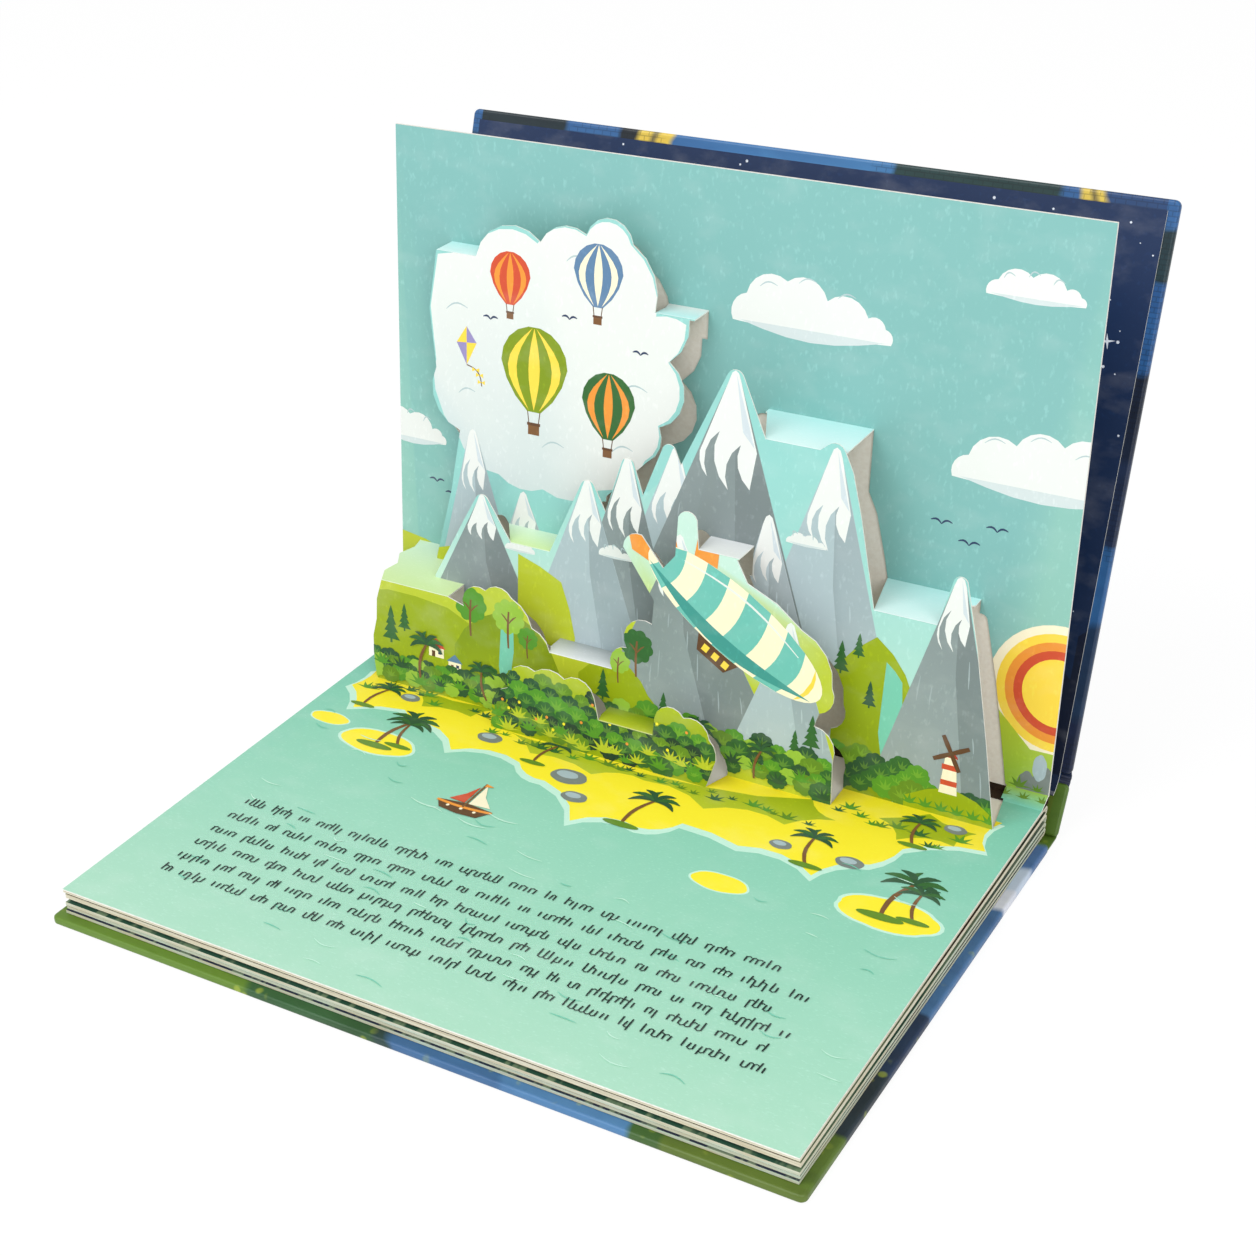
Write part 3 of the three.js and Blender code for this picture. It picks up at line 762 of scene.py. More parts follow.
def print_cloud_layer() -> Plate:
    """Returns the print of the highest layer: a great cloud with balloons, and a peak below it."""
    plate = Plate("cloud_print")
    plate.add(rectangle(-130, 0, -5, 205), Ink.SKY_EDGE, fade=(Ink.SKY, (0, 60), (0, 30)))
    cloud = traced([
        (-104, 101, 0.22), (-105.5, 117, 0.14), (-104.5, 154, 0.1), (-91, 155.5, 0.5), (-65, 163, 0.42),
        (-46.5, 168, 0.72), (-30, 167.5, 0.3), (-20, 145.5, 0.2), (-9, 144.5, 0.25), (-15, 131, 0.55),
        (-18, 109, 0.35), (-22.5, 96, 0.3), (-40, 82, 0.35), (-62, 78, 0.3), (-80, 80, 0.35), (-97, 92, 0.2),
    ])
    plate.add([(x * 1.035 + 2.2, y * 1.035 - 4.3) for x, y in cloud], Ink.CLOUD,
              fade=(Ink.CLOUD_SHADE, (-44, 92), (-54, 72)))
    curls = ((-98, 136, 9), (-94, 106, 7), (-26, 118, 10), (-30, 96, 8), (-50, 160, 7), (-58, 92, 9))
    for x, y, size in curls:
        curl = bowed((x - size / 2, y), (x + size / 2, y + 1.5), size * 0.22, 7)
        plate.add(stroke(curl, 0.6), Ink.CLOUD_LINE, same=x != -98)
    draw_balloon(plate, -76, 151, 8.2, Ink.RED, Ink.ORANGE, Ink.TRUNK)
    draw_balloon(plate, -41, 157, 9.6, Ink.BLUE, Ink.CREAM, Ink.TRUNK)
    draw_balloon(plate, -66, 120, 13.5, Ink.HILL_SHADE, Ink.YELLOW, Ink.TRUNK)
    draw_balloon(plate, -36, 112, 10.5, Ink.LEAF_DARK, Ink.ORANGE, Ink.TRUNK)
    draw_kite(plate, -94, 124, 7, Ink.VIOLET, Ink.YELLOW)
    draw_birds(plate, [(-52, 140), (-84, 135), (-24, 132)], 6)
    draw_peak(plate, (-91.5, 93.5), -110, -66, 20, Ink.ROCK_LIGHT, 3)
    draw_peak(plate, (-70, 74), -90, -44, 20, Ink.ROCK_PALE, 4)
    pale = [(-112, -5), (-112, 43, 0.1), (-88, 48, 0.1), (-60, 36), (-30, 40), (-30, -5)]
    plate.add(traced(pale), Ink.HILL_LIGHT)
    return plate


def print_peaks() -> Plate:
    """Returns the print of the layer of peaks."""
    plate = Plate("peak_print")
    draw = random.Random(5)
    plate.add(rectangle(-130, 130, -5, 205), Ink.MINT_EDGE, fade=(Ink.SKY_EDGE, (0, 50), (0, 75)))
    draw_peak(plate, (-2.5, 108.5), -38, 30, 18, Ink.ROCK_LIGHT, 21)
    draw_peak(plate, (55.3, 119.5), 18, 86, 14, Ink.ROCK_LIGHT, 22)
    draw_peak(plate, (18.2, 138.6), -34, 62, 10, Ink.ROCK, 23)
    draw_peak(plate, (-20.6, 101.8), -51, 8, 14, Ink.ROCK, 24)
    draw_peak(plate, (-36.2, 90.6), -66, -8, 14, Ink.ROCK_LIGHT, 25)
    draw_peak(plate, (33, 92), 12, 60, 14, Ink.ROCK_PALE, 28)
    draw_peak(plate, (-79.3, 76.4), -107, -50, 20, Ink.ROCK, 26)
    plate.add(traced([(-64, -5), (-64, 57, 0.06), (-46, 50, 0.06), (-40, 30), (-40, -5)]), Ink.HILL_LIGHT)
    draw_cloud(plate, -63, 58, 13, 4.6, [0.8, 1.0])
    draw_cloud(plate, 47, 84, 15, 5, [0.7, 1.0, 0.6])
    draw_cloud(plate, -24, 64, 14, 4.8, [1.0, 0.7])
    slope = [(60, -5), (60, 44, 0.1), (74, 58, 0.18), (88, 40, 0.08), (96, 18), (112, 12), (130, 6),
             (130, -5)]
    plate.add(traced(slope), Ink.HILL, fade=(Ink.HILL_SHADE, (0, 40), (0, 8)))
    stream = [(78, 50, 0.1), (84, 44, 0.08), (84, 20, -0.1), (92, 0), (84, 0, 0.1), (77, 24)]
    plate.add(traced(stream), Ink.SEA_DEEP)
    for x, y, height in ((62, 42, 12), (68, 49, 9), (88, 26, 9), (73, 32, 10), (94, 18, 8)):
        draw_pine(plate, x, y, height, Ink.PINE if x % 2 else Ink.LEAF_DARK)
    draw_peak(plate, (100.6, 85.2), 76, 121.5, 8, Ink.ROCK, 27)
    for i in range(40):
        x = 56 + 64 * scattered(i)
        ink = (Ink.LEAF_DARK, Ink.LEAF, Ink.GRASS, Ink.PINE)[i % 4]
        draw_bush(plate, x, 2 + (13 - 12 * i / 39) * (1 if x < 92 else 0.4), draw.uniform(3.4, 5.2), ink, i)
    plate.add(traced([(88, -5), (88, 4, 0.1), (104, 11, 0.15), (121, 3), (121, -5)]), Ink.HILL)
    draw_windmill(plate, 103, 8.5, 19)
    for i in range(6):
        draw_fan(plate, 90 + 5.6 * i, 1.5, 4, Ink.LEAF, 5)
    return plate


def print_hills() -> Plate:
    """Returns the print of the layer of hills, with a striped airship over its middle."""
    plate = Plate("hill_print")
    draw = random.Random(8)
    plate.add(rectangle(-140, 140, -5, 205), Ink.HILL_LIGHT, fade=(Ink.MINT_EDGE, (0, 52), (0, 66)))
    plate.add(traced([(-125, -5), (-125, 34, 0.12), (-101, 37, 0.16), (-74, 30), (-70, -5)]), Ink.HILL)
    plate.add(traced([(-84, -5), (-84, 22, 0.3), (-58, 40, 0.25), (-40, 22), (-36, -5)]), Ink.HILL_SHADE,
              fade=(Ink.HILL, (0, 30), (0, 10)))
    draw_peak(plate, (6, 84), -28, 52, 6, Ink.ROCK, 31)
    draw_peak(plate, (48, 62), 26, 70, 6, Ink.ROCK_LIGHT, 32)
    plate.add(traced([(-32, -5), (-32, 24, 0.2), (-16, 33, 0.2), (-4, 22, 0.1), (8, 8), (8, -5)]), Ink.HILL)
    stream = [(-64, 38, 0.1), (-59, 34, 0.08), (-60, 16, -0.1), (-52, 0), (-60, 0, 0.1), (-65, 18)]
    plate.add(traced(stream), Ink.SEA_DEEP)
    draw_tree(plate, -77, 27, 19, Ink.LEAF, 1)
    draw_tree(plate, -61, 26, 19, Ink.LEAF_LIGHT, 2)
    draw_tree(plate, -53, 24, 12, Ink.LEAF, 5)
    draw_tree(plate, -16, 24, 13, Ink.LEAF_LIGHT, 3)
    draw_tree(plate, -9, 28, 18, Ink.LEAF_DARK, 4)
    pines = ((-112, 16, 15), (-106, 22, 11), (-22, 16, 12), (58, 18, 13), (52, 14, 10), (2, 14, 11))
    for x, y, height in pines:
        draw_pine(plate, x, y, height, Ink.PINE if int(x) % 2 else Ink.LEAF_DARK)
    draw_house(plate, -92, 15, 6.5, Ink.CREAM, Ink.RED)
    draw_house(plate, -84, 11.5, 5.5, Ink.CREAM, Ink.BLUE)
    draw_house(plate, -45, 12, 6, Ink.CREAM, Ink.ORANGE)
    draw_airship(plate)
    for i in range(112):
        x = -119 + 186 * scattered(i)
        low = 2 + (14 - 13 * i / 111) * (0.6 if x < -70 else 1)
        ink = (Ink.LEAF_DARK, Ink.LEAF, Ink.GRASS, Ink.PINE, Ink.LEAF_LIGHT)[i % 5]
        draw_bush(plate, x, low, draw.uniform(3.2, 5.4), ink, i)
    for i in range(22):
        x = -116 + 180 * i / 21
        draw_fan(plate, x, 1 + draw.uniform(0, 6), draw.uniform(3.5, 6), Ink.PINE if i % 2 else Ink.LEAF, 6)
    for x, y, height, lean in ((-99, 5, 14, 0.2), (-70, 3, 11, -0.2), (38, 2, 11, 0.2), (18, 3, 12, -0.15)):
        draw_palm(plate, x, y, height, lean)
    return plate


def draw_airship(plate: Plate) -> None:
    """Prints a teal and white airship that flies down to the right, with fins and a gondola."""
    turn = math.radians(-31)
    middle = (27.5, 57.0)

    def placed(points: list[Point]) -> list[Point]:
        return [
            (
                middle[0] + x * math.cos(turn) - y * math.sin(turn),
                middle[1] + x * math.sin(turn) + y * math.cos(turn),
            )
            for x, y in points
        ]

    for points in (
        [(-28, 5), (-40, 17), (-47, 15), (-40, 2)],
        [(-28, -3), (-43, -5), (-50, 2), (-40, 3)],
        [(-24, 9), (-30, 24), (-22, 25), (-15, 11)],
    ):
        plate.add(placed(points), Ink.ORANGE)
    plate.add(placed([(-8, -12), (10, -12), (7, -18), (-5, -18)]), Ink.BROWN)
    for i in range(3):
        plate.add(placed(rectangle(-4 + 4.4 * i, -1.6 + 4.4 * i, -16.6, -14)), Ink.YELLOW, same=i > 0)
    plate.add(placed(ellipse(0, 0, 38, 12.6, steps=44)), Ink.CREAM)
    for low, high in ((-35, -27), (-19, -10), (-2, 8), (16, 25)):
        edge = []
        for x in (low, high):
            half = 12.6 * math.sqrt(1 - (x / 38) ** 2)
            side = bowed((x, -half), (x, half), -2.4, 8)
            edge += side if x == low else side[::-1]
        plate.add(placed(edge), Ink.TEAL, same=low > -35)
    plate.add(placed(traced([(31, -7.3, -0.2), (31, 7.3, 0.42)])), Ink.YELLOW)
    belly = bowed((-36, -3.5), (36, -3.5), -8.6, 14)
    plate.add(placed([*belly, *bowed((36, -3.5), (-36, -3.5), 3.4, 14)[1:-1]]), Ink.TEAL_DARK)
    plate.add(placed(stroke(bowed((-26, 5.5), (24, 6.5), 3.4, 9), 0.8)), Ink.SNOW)


def print_bushes() -> Plate:
    """Returns the print of the lowest layer: a thicket of bushes and leaves."""
    plate = Plate("bush_print")
    draw = random.Random(14)
    plate.add(rectangle(-100, 60, -5, 60), Ink.HILL, fade=(Ink.HILL_LIGHT, (0, 18), (0, 30)))
    for i in range(70):
        x = -61 + 87 * scattered(i)
        y = 23 - 21 * i / 69 if x < -18 else 18 - 16 * i / 69
        ink = (Ink.PINE, Ink.LEAF_DARK, Ink.GRASS, Ink.LEAF, Ink.PINE_DARK)[i % 5]
        draw_bush(plate, x, y, draw.uniform(3.0, 5.2), ink, 40 + i)
    for i in range(20):
        x = -59 + 83 * i / 19
        tone = Ink.HILL_LIGHT if i % 3 else Ink.LEAF
        draw_fan(plate, x, draw.uniform(0.5, 7), draw.uniform(3.5, 6.5), tone, 6)
    for i in range(16):
        x = -57 + 78 * scattered(i)
        spot = ellipse(x, draw.uniform(4, 20), 0.6, 0.6, steps=8)
        plate.add(spot, Ink.SAND if i % 2 else Ink.ORANGE)
    return plate


def print_sea() -> Plate:
    """Returns the print of the lying page: sea, sand, palms, a boat, waves and rows of marks."""
    plate = Plate("sea_print")
    draw = random.Random(2)
    plate.add(rectangle(-140, 140, -200, 5), Ink.SEA, fade=(Ink.SEA_DEEP, (0, -110), (0, -10)))
    sand = traced([
        (-124, -43, 0.2), (-114, -56, 0.15), (-96, -49, -0.25), (-84, -53, 0.25), (-66, -64, 0.3),
        (-40, -60, -0.3),
        (-26, -66, 0.25), (-6, -83, 0.35), (16, -76, -0.3), (28, -67, 0.1), (50, -70, 0.3), (78, -74, 0.3),
        (92, -60, -0.2), (98, -47, 0.2), (122, -36, 0.35), (121, -18, 0.1), (60, -8), (-100, -8, 0.1),
        (-122, -30, 0.2),
    ])
    plate.add([(x * 1.012, y * 1.035 - 0.6) for x, y in sand], Ink.SEA_LIGHT)
    plate.add(sand, Ink.SAND, fade=(Ink.SAND_SHADE, (0, -50), (0, -24)))
    meadows = (
        [(-104, -34, 0.3), (-92, -44, 0.2), (-72, -42, 0.3), (-64, -33, 0.1)],
        [(-58, -44, 0.25), (-40, -53, 0.2), (-14, -55, 0.3), (4, -50, 0.25), (30, -56, 0.3), (58, -52, 0.2),
         (72, -42, 0.3),
         (60, -34, 0.1), (24, -44, 0.1), (-30, -44, 0.1)],
        [(84, -34, 0.3), (94, -43, 0.3), (112, -38, 0.3), (116, -28, 0.2), (98, -24, 0.1)],
    )
    for i, meadow in enumerate(meadows):
        plate.add(traced(meadow), Ink.HILL_LIGHT, same=i > 0, fade=(Ink.HILL, (0, -54), (0, -32)))
    inlet = traced([(2, -62, 0.4), (30, -58, 0.2), (44, -48, 0.4), (20, -46, -0.2), (4, -52, 0.3)])
    plate.add(inlet, Ink.SEA)
    for x, y, rx, ry in ((-92, -72, 15, 7), (108, -82, 17, 8), (54, -91, 10, 4.5), (-117, -66, 8, 3.5)):
        plate.add(scalloped(x, y, rx * 1.08, ry * 1.12, 5, 0.06, x), Ink.SEA_LIGHT)
        plate.add(scalloped(x, y, rx, ry, 5, 0.06, x), Ink.SAND)
    for i in range(46):
        x = -118 + 236 * scattered(i)
        y = -31 - 12 * draw.random() if x < -60 or x > 66 else -46 - 4 * draw.random()
        draw_fan(plate, x, y, draw.uniform(2.6, 5), (Ink.LEAF, Ink.GRASS, Ink.LEAF_DARK)[i % 3], 5)
    stones = ((-58, -51, 5), (-20, -60, 7), (-12, -70, 5), (86, -62, 5), (62, -63, 4), (109, -29, 4),
              (-99, -41, 4))
    for x, y, size in stones:
        plate.add(scalloped(x, y, size, size * 0.62, 5, 0.05, x), Ink.STONE)
        lit = scalloped(x - size * 0.15, y + size * 0.14, size * 0.6, size * 0.3, 5, 0.05, x)
        plate.add(lit, Ink.ROCK_LIGHT)
    palms = ((-92, -74, 19, 0.2), (-84, -71, 14, -0.3), (106, -84, 20, 0.15), (116, -82, 14, -0.2),
             (10, -77, 17, 0.2), (74, -70, 15, -0.25), (-36, -58, 13, 0.2), (-112, -53, 13, 0.2),
             (100, -44, 13, -0.2))
    for x, y, height, lean in palms:
        draw_palm(plate, x, y, height, lean, flat=True)
    draw_boat(plate, -42, -93, 10.5)
    for x, y in ((-55, -96), (-34, -99), (-26, -92)):
        ripple = bowed((x - 6, y), (x + 6, y - 1), -1.1, 7)
        plate.add(stroke(ripple, 0.6), Ink.SEA_LIGHT, same=x != -55)
    for i in range(64):
        x, y = -122 + 244 * scattered(i), -62 - 126 * scattered(i, SILVER_SHARE)
        if y > -96 and abs(x) < 60:
            continue
        length = draw.uniform(4, 11)
        wave = bowed((x, y), (x + length, y - draw.uniform(0, 1.5)), draw.uniform(-1.4, 1.4), 7)
        plate.add(stroke(wave, 0.45), Ink.SEA_LIGHT if i % 2 else Ink.SEA_DEEP, same=i > 0)
    print_rows(plate)
    return plate


def print_rows(plate: Plate) -> None:
    """Prints six rows of dark pen marks in word lengths, where a story would stand; they spell nothing."""
    draw = random.Random(77)
    rows = ((-125.3, 92), (-134.6, 105), (-143.5, 100), (-151.8, 107.5), (-160.3, 104), (-168.6, 108))
    plate.rank += 1
    for y, right in rows:
        x = -109.0
        while x < right - 3:
            length = min(draw.choice((4.5, 6.5, 8.5, 10.5, 13, 16)), right - x)
            print_word(plate, draw, x, y + (x + 109) * 0.01, length)
            x += length + 2.7


def print_word(plate: Plate, draw: random.Random, x: float, y: float, length: float) -> None:
    """Prints one word-length run of uneven pen strokes, which are no letters."""
    count = max(2, round(length / 1.75))
    for i in range(count):
        left = x + length * i / count
        high = 4.0 if draw.random() < 0.24 else 2.5
        low = -1.4 if draw.random() < 0.12 else 0.0
        slant = 0.35 if i % 2 else 0.0
        stem = [(left, y + low), (left + slant / 2, y + high / 2), (left + slant, y + high)]
        plate.add(stroke(stem, 0.62, 0.85), Ink.TEXT, same=True)
        if draw.random() < 0.72 and i < count - 1:
            end = left + length / count * 0.9
            rise = 2.25 if draw.random() < 0.6 else 0.2
            arch = bowed((left + 0.2, y + rise), (end, y + rise), 0.4 if rise > 1 else -0.4, 4)
            plate.add(stroke(arch, 0.42, 0.8), Ink.TEXT, same=True)


def print_night() -> Plate:
    """Returns the print of the endpaper: a night sky with stars, over dark roofs with lit windows."""
    plate = Plate("night_print")
    draw = random.Random(31)
    plate.add(rectangle(-140, 140, -20, 210), Ink.NIGHT_DARK, fade=(Ink.NIGHT, (0, 40), (0, 190)))
    for i in range(230):
        size = draw.choice((0.22, 0.3, 0.42, 0.55))
        x, y = draw.uniform(-129, 129), draw.uniform(8, 190)
        if abs(x - CASE.slot_x) > CASE.slot_margin:
            plate.add(ellipse(x, y, size, size, steps=6), Ink.STAR, same=i > 0)
    for i in range(26):
        x, y = -124 + 248 * scattered(i), 60 + 126 * scattered(i, SILVER_SHARE)
        points = []
        size = draw.uniform(1.7, 2.9)
        for corner in range(8):
            reach = size if corner % 2 == 0 else size * 0.2
            angle = math.tau * corner / 8 + 0.2
            points.append((x + reach * math.cos(angle), y + reach * math.sin(angle)))
        if abs(x - CASE.slot_x) > CASE.slot_margin:
            plate.add(points, Ink.STAR, same=i > 0)
    roofs = [(-140, -20)]
    x = -140.0
    while x < 140:
        width, height = draw.uniform(12, 20), draw.uniform(34, 66)
        roofs += [(x, height), (x + width * 0.5, height + width * 0.45), (x + width, height)]
        x += width
    plate.add([*roofs, (140, -20)], mixed(Ink.NIGHT_DARK.value, (10, 16, 34), 0.6))
    for i in range(44):
        x, y = -126 + 250 * scattered(i), 16 + 14 * scattered(i, SILVER_SHARE) * 2
        if draw.random() < 0.6:
            plate.add(rectangle(x, x + 1.5, y, y + 2.1), Ink.YELLOW if i % 3 else Ink.BLUE)
    return plate


def print_gutter_ramp() -> Plate:
    """Returns the print where the lying page rises to the fold."""
    plate = Plate("ramp_print")
    plate.add(rectangle(-140, 140, -2, 9), Ink.LEAF_LIGHT, fade=(Ink.SEA_DEEP, (0, 3.2), (0, 1.2)))
    for i in range(40):
        draw_fan(plate, -129 + 258 * i / 39, 2.8, 3.0, Ink.GRASS, 5)
    return plate


# Faces of card


@dataclass(frozen=True)
class Face:
    """A flat face of a CAD node, which a plate is printed on.

    Attributes:
        node: The CAD node.
        matrix: From (x, y, out of the face) to the row frame, in millimetres.
        left: Lowest x of the face, for faces that share a plane.
        right: Highest x of the face.
        low: Lowest y of the face.
        high: Highest y of the face.
    """

    node: str
    matrix: Matrix
    left: float = -200.0
    right: float = 200.0
    low: float = -400.0
    high: float = 400.0

    def cutter(self) -> bpy.types.Object:
        """Returns a block with the outline and the holes of the face, in the plane's own frame."""
        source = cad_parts[self.node].data
        inverse = self.matrix.inverted()
        flat = [inverse @ (vertex.co / MM) for vertex in source.vertices]
        kept = [
            list(polygon.vertices)
            for polygon in source.polygons
            if all(abs(flat[i].z) < FLAT_TOLERANCE for i in polygon.vertices)
            and self.holds(flat, polygon.vertices)
        ]
        data = bpy.data.meshes.new("cutter")
        data.from_pydata([(p.x, p.y, 0) for p in flat], [], kept)
        made = bpy.data.objects.new("cutter", data)
        bpy.context.collection.objects.link(made)
        select_only(made)
        bpy.ops.object.mode_set(mode="EDIT")
        bpy.ops.mesh.select_all(action="SELECT")
        bpy.ops.mesh.delete_loose()
        bpy.ops.mesh.select_all(action="SELECT")
        bpy.ops.mesh.remove_doubles(threshold=0.001)
        bpy.ops.mesh.normals_make_consistent(inside=False)
        bpy.ops.object.mode_set(mode="OBJECT")
        modifier = made.modifiers.new("depth", "SOLIDIFY")
        modifier.thickness = CUTTER_DEPTH
        modifier.offset = 0
        bpy.ops.object.modifier_apply(modifier=modifier.name)
        return made

    def holds(self, flat: list[Vector], corners: list[int]) -> bool:
        """Tells whether a polygon's middle lies within the face's limits."""
        x = sum(flat[i].x for i in corners) / len(corners)
        y = sum(flat[i].y for i in corners) / len(corners)
        return self.left <= x <= self.right and self.low <= y <= self.high


def select_only(obj: bpy.types.Object) -> None:
    """Selects obj alone and makes it active."""
    bpy.ops.object.select_all(action="DESELECT")
    obj.select_set(True)
    bpy.context.view_layer.objects.active = obj


def plane(origin: Vector, right: Vector, up: Vector) -> Matrix:
    """Returns the matrix from a plane's own (x, y, out) to the frame that its vectors are in."""
    matrix = Matrix.Identity(4)
    for i, column in enumerate((right, up, right.cross(up))):
        matrix.col[i] = (*column.normalized(), 0)
    matrix.col[3] = (*origin, 1)
    return matrix


def standing_face(depth: float, **limits: float) -> Face:
    """Returns the front face of the card that stands depth in front of the standing page."""
    origin = SPREAD.matrix @ Vector((0, -depth, 0))
    return Face("popup_sheet", plane(origin, Vector((1, 0, 0)), SPREAD.up), **limits)


def level_face(height: float, **limits: float) -> Face:
    """Returns the upper face of the lying page, or of the straps at a height over it."""
    origin = SPREAD.matrix @ Vector((0, 0, height))
    return Face("popup_sheet", plane(origin, Vector((1, 0, 0)), SPREAD.along), **limits)


def ramp_face() -> Face:
    """Returns the face where the lying page rises to the fold."""
    foot = SPREAD.matrix @ Vector((0, -SPREAD.gutter_ramp, 0))
    top = SPREAD.matrix @ Vector((0, 0, SPREAD.gutter_rise))
    return Face("popup_sheet", plane(foot, Vector((1, 0, 0)), top - foot))


def die_cut(piece: bpy.types.Object, cutter: bpy.types.Object) -> bpy.types.Object:
    """Cuts a field of ink to the card, and returns it."""
    select_only(piece)
    modifier = piece.modifiers.new("die_cut", "BOOLEAN")
    modifier.operation = "INTERSECT"
    modifier.solver = "EXACT"
    modifier.object = cutter
    bpy.ops.object.modifier_apply(modifier=modifier.name)
    return piece


def printed(plate: Plate, face: Face, finish: "Finish", body: str) -> bpy.types.Object:
    """Prints a plate on a face of card: the ink is cut to the card's outline and holes.

    Small fields that lie whole on the card stay as they are, and those that lie off it are left out.

    Args:
        plate: The print.
        face: The face that it goes on.
        finish: Its finish.
        body: The CAD body that it rides on.

    Returns:
        The finished piece.
    """
    cutter = face.cutter()
    corners = [vertex.co for vertex in cutter.data.vertices]
    card = BVHTree.FromPolygons(corners, [tuple(polygon.vertices) for polygon in cutter.data.polygons])
    whole, cut = [], []
    for number, one in enumerate(plate.fields):
        hits = [card.ray_cast(Vector((x, y, RAY_HEIGHT)), Vector((0, 0, -1)))[0] for x, y in one.points]
        on_card = [hit is not None for hit in hits]
        if one.reach > SMALL_FIELD or (any(on_card) and not all(on_card)):
            cut.append(number)
        elif all(on_card):
            whole.append(number)
    pieces = [plate.mesh(whole)] + [die_cut(plate.mesh([number]), cutter) for number in cut]
    bpy.data.objects.remove(cutter, do_unlink=True)
    made = pieces[0]
    select_only(made)
    for piece in pieces:
        piece.select_set(True)
    bpy.ops.object.join()
    made.name = plate.name
    plate.colour(made.data)
    made.data.transform(Matrix.Scale(MM, 4) @ face.matrix)
    finish.apply(made)
    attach(made, body)
    return made


# Materials


class Socket:
    """An output of a shader node, with the usual operators as Math nodes."""

    def __init__(self, tree: "Shader", output: bpy.types.NodeSocket) -> None:
        """Wraps an output of the tree."""
        self.tree = tree
        self.output = output

    def math(self, operation: str, other: "Socket | float" = 0.0, third: float | None = None) -> "Socket":
        """Returns the result of a Math node on this value and another."""
        values = [self, other] if third is None else [self, other, third]
        return self.tree.node("ShaderNodeMath", values, operation=operation)

    def __add__(self, other: "Socket | float") -> "Socket":
        """Adds a value."""
        return self.math("ADD", other)

    def __sub__(self, other: "Socket | float") -> "Socket":
        """Subtracts a value."""
        return self.math("SUBTRACT", other)

    def __mul__(self, other: "Socket | float") -> "Socket":
        """Multiplies by a value."""
        return self.math("MULTIPLY", other)

    def __gt__(self, other: "Socket | float") -> "Socket":
        """Gives 1 where this is greater, otherwise 0."""
        return self.math("GREATER_THAN", other)

    def __lt__(self, other: "Socket | float") -> "Socket":
        """Gives 1 where this is less, otherwise 0."""
        return self.math("LESS_THAN", other)

    def ramp(self, low: float, high: float, to_low: float = 0.0, to_high: float = 1.0) -> "Socket":
        """Maps the range from low to high onto another, and clamps it."""
        return self.tree.node("ShaderNodeMapRange", [self, low, high, to_low, to_high])


class Shader:
    """A material's node tree, which makes nodes and joins them."""

    def __init__(self, name: str) -> None:
        """Starts a material with one Principled surface."""
        self.material = bpy.data.materials.new(name)
        self.material.use_nodes = True
        self.tree = self.material.node_tree
        self.surface = next(n for n in self.tree.nodes if n.type == "BSDF_PRINCIPLED")

    def node(self, kind: str, inputs: list | dict, output: int | str = 0, **settings: object) -> Socket:
        """Makes a node.

        Args:
            kind: Its type.
            inputs: Values or sockets for its inputs, in order or by name.
            output: Which output to return.
            settings: Its properties.

        Returns:
            The output, wrapped.
        """
        made = self.tree.nodes.new(kind)
        for key, value in settings.items():
            setattr(made, key, value)
        pairs = inputs.items() if isinstance(inputs, dict) else enumerate(inputs)
        for key, value in pairs:
            self.feed(made.inputs[key], value)
        return Socket(self, made.outputs[output])

    def feed(self, target: bpy.types.NodeSocket, value: object) -> None:
        """Joins a socket to an input, or sets the input's value."""
        if isinstance(value, Socket):
            self.tree.links.new(value.output, target)
        else:
            target.default_value = value

    def set(self, name: str, value: object) -> None:
        """Feeds an input of the surface."""
        self.feed(self.surface.inputs[name], value)

    def place(self) -> Socket:
        """Returns the Object coordinates."""
        return self.node("ShaderNodeTexCoord", [], "Object")

    def split(self, vector: Socket) -> list[Socket]:
        """Returns the three parts of a vector."""
        made = self.tree.nodes.new("ShaderNodeSeparateXYZ")
        self.tree.links.new(vector.output, made.inputs[0])
        return [Socket(self, made.outputs[i]) for i in range(3)]

    def normal(self) -> Socket:
        """Returns the surface's normal in the object's own frame."""
        geometry = self.node("ShaderNodeNewGeometry", [], "Normal")
        return self.node(
            "ShaderNodeVectorTransform", [geometry],
            vector_type="NORMAL", convert_from="WORLD", convert_to="OBJECT",
        )

    def noise(
        self, scale: float, detail: float = 3.0, stretch: tuple = (1, 1, 1), vector: Socket | None = None
    ) -> Socket:
        """Returns noise, stretched by a factor along each axis."""
        at = self.node("ShaderNodeMapping", {"Vector": vector or self.place(), "Scale": stretch})
        return self.node("ShaderNodeTexNoise", {"Vector": at, "Scale": scale, "Detail": detail}, "Fac")

    def mix(self, share: Socket | float, a: object, b: object, blend: str = "MIX") -> Socket:
        """Returns the mix of two colours."""
        made = self.tree.nodes.new("ShaderNodeMix")
        made.data_type = "RGBA"
        made.blend_type = blend
        for index, value in ((0, share), (6, a), (7, b)):
            self.feed(made.inputs[index], value)
        return Socket(self, made.outputs[2])

    def bump(self, height: Socket, distance: float, strength: float = 1.0) -> None:
        """Gives the surface a bump."""
        normal = self.node("ShaderNodeBump", {"Height": height, "Distance": distance, "Strength": strength})
        self.set("Normal", normal)


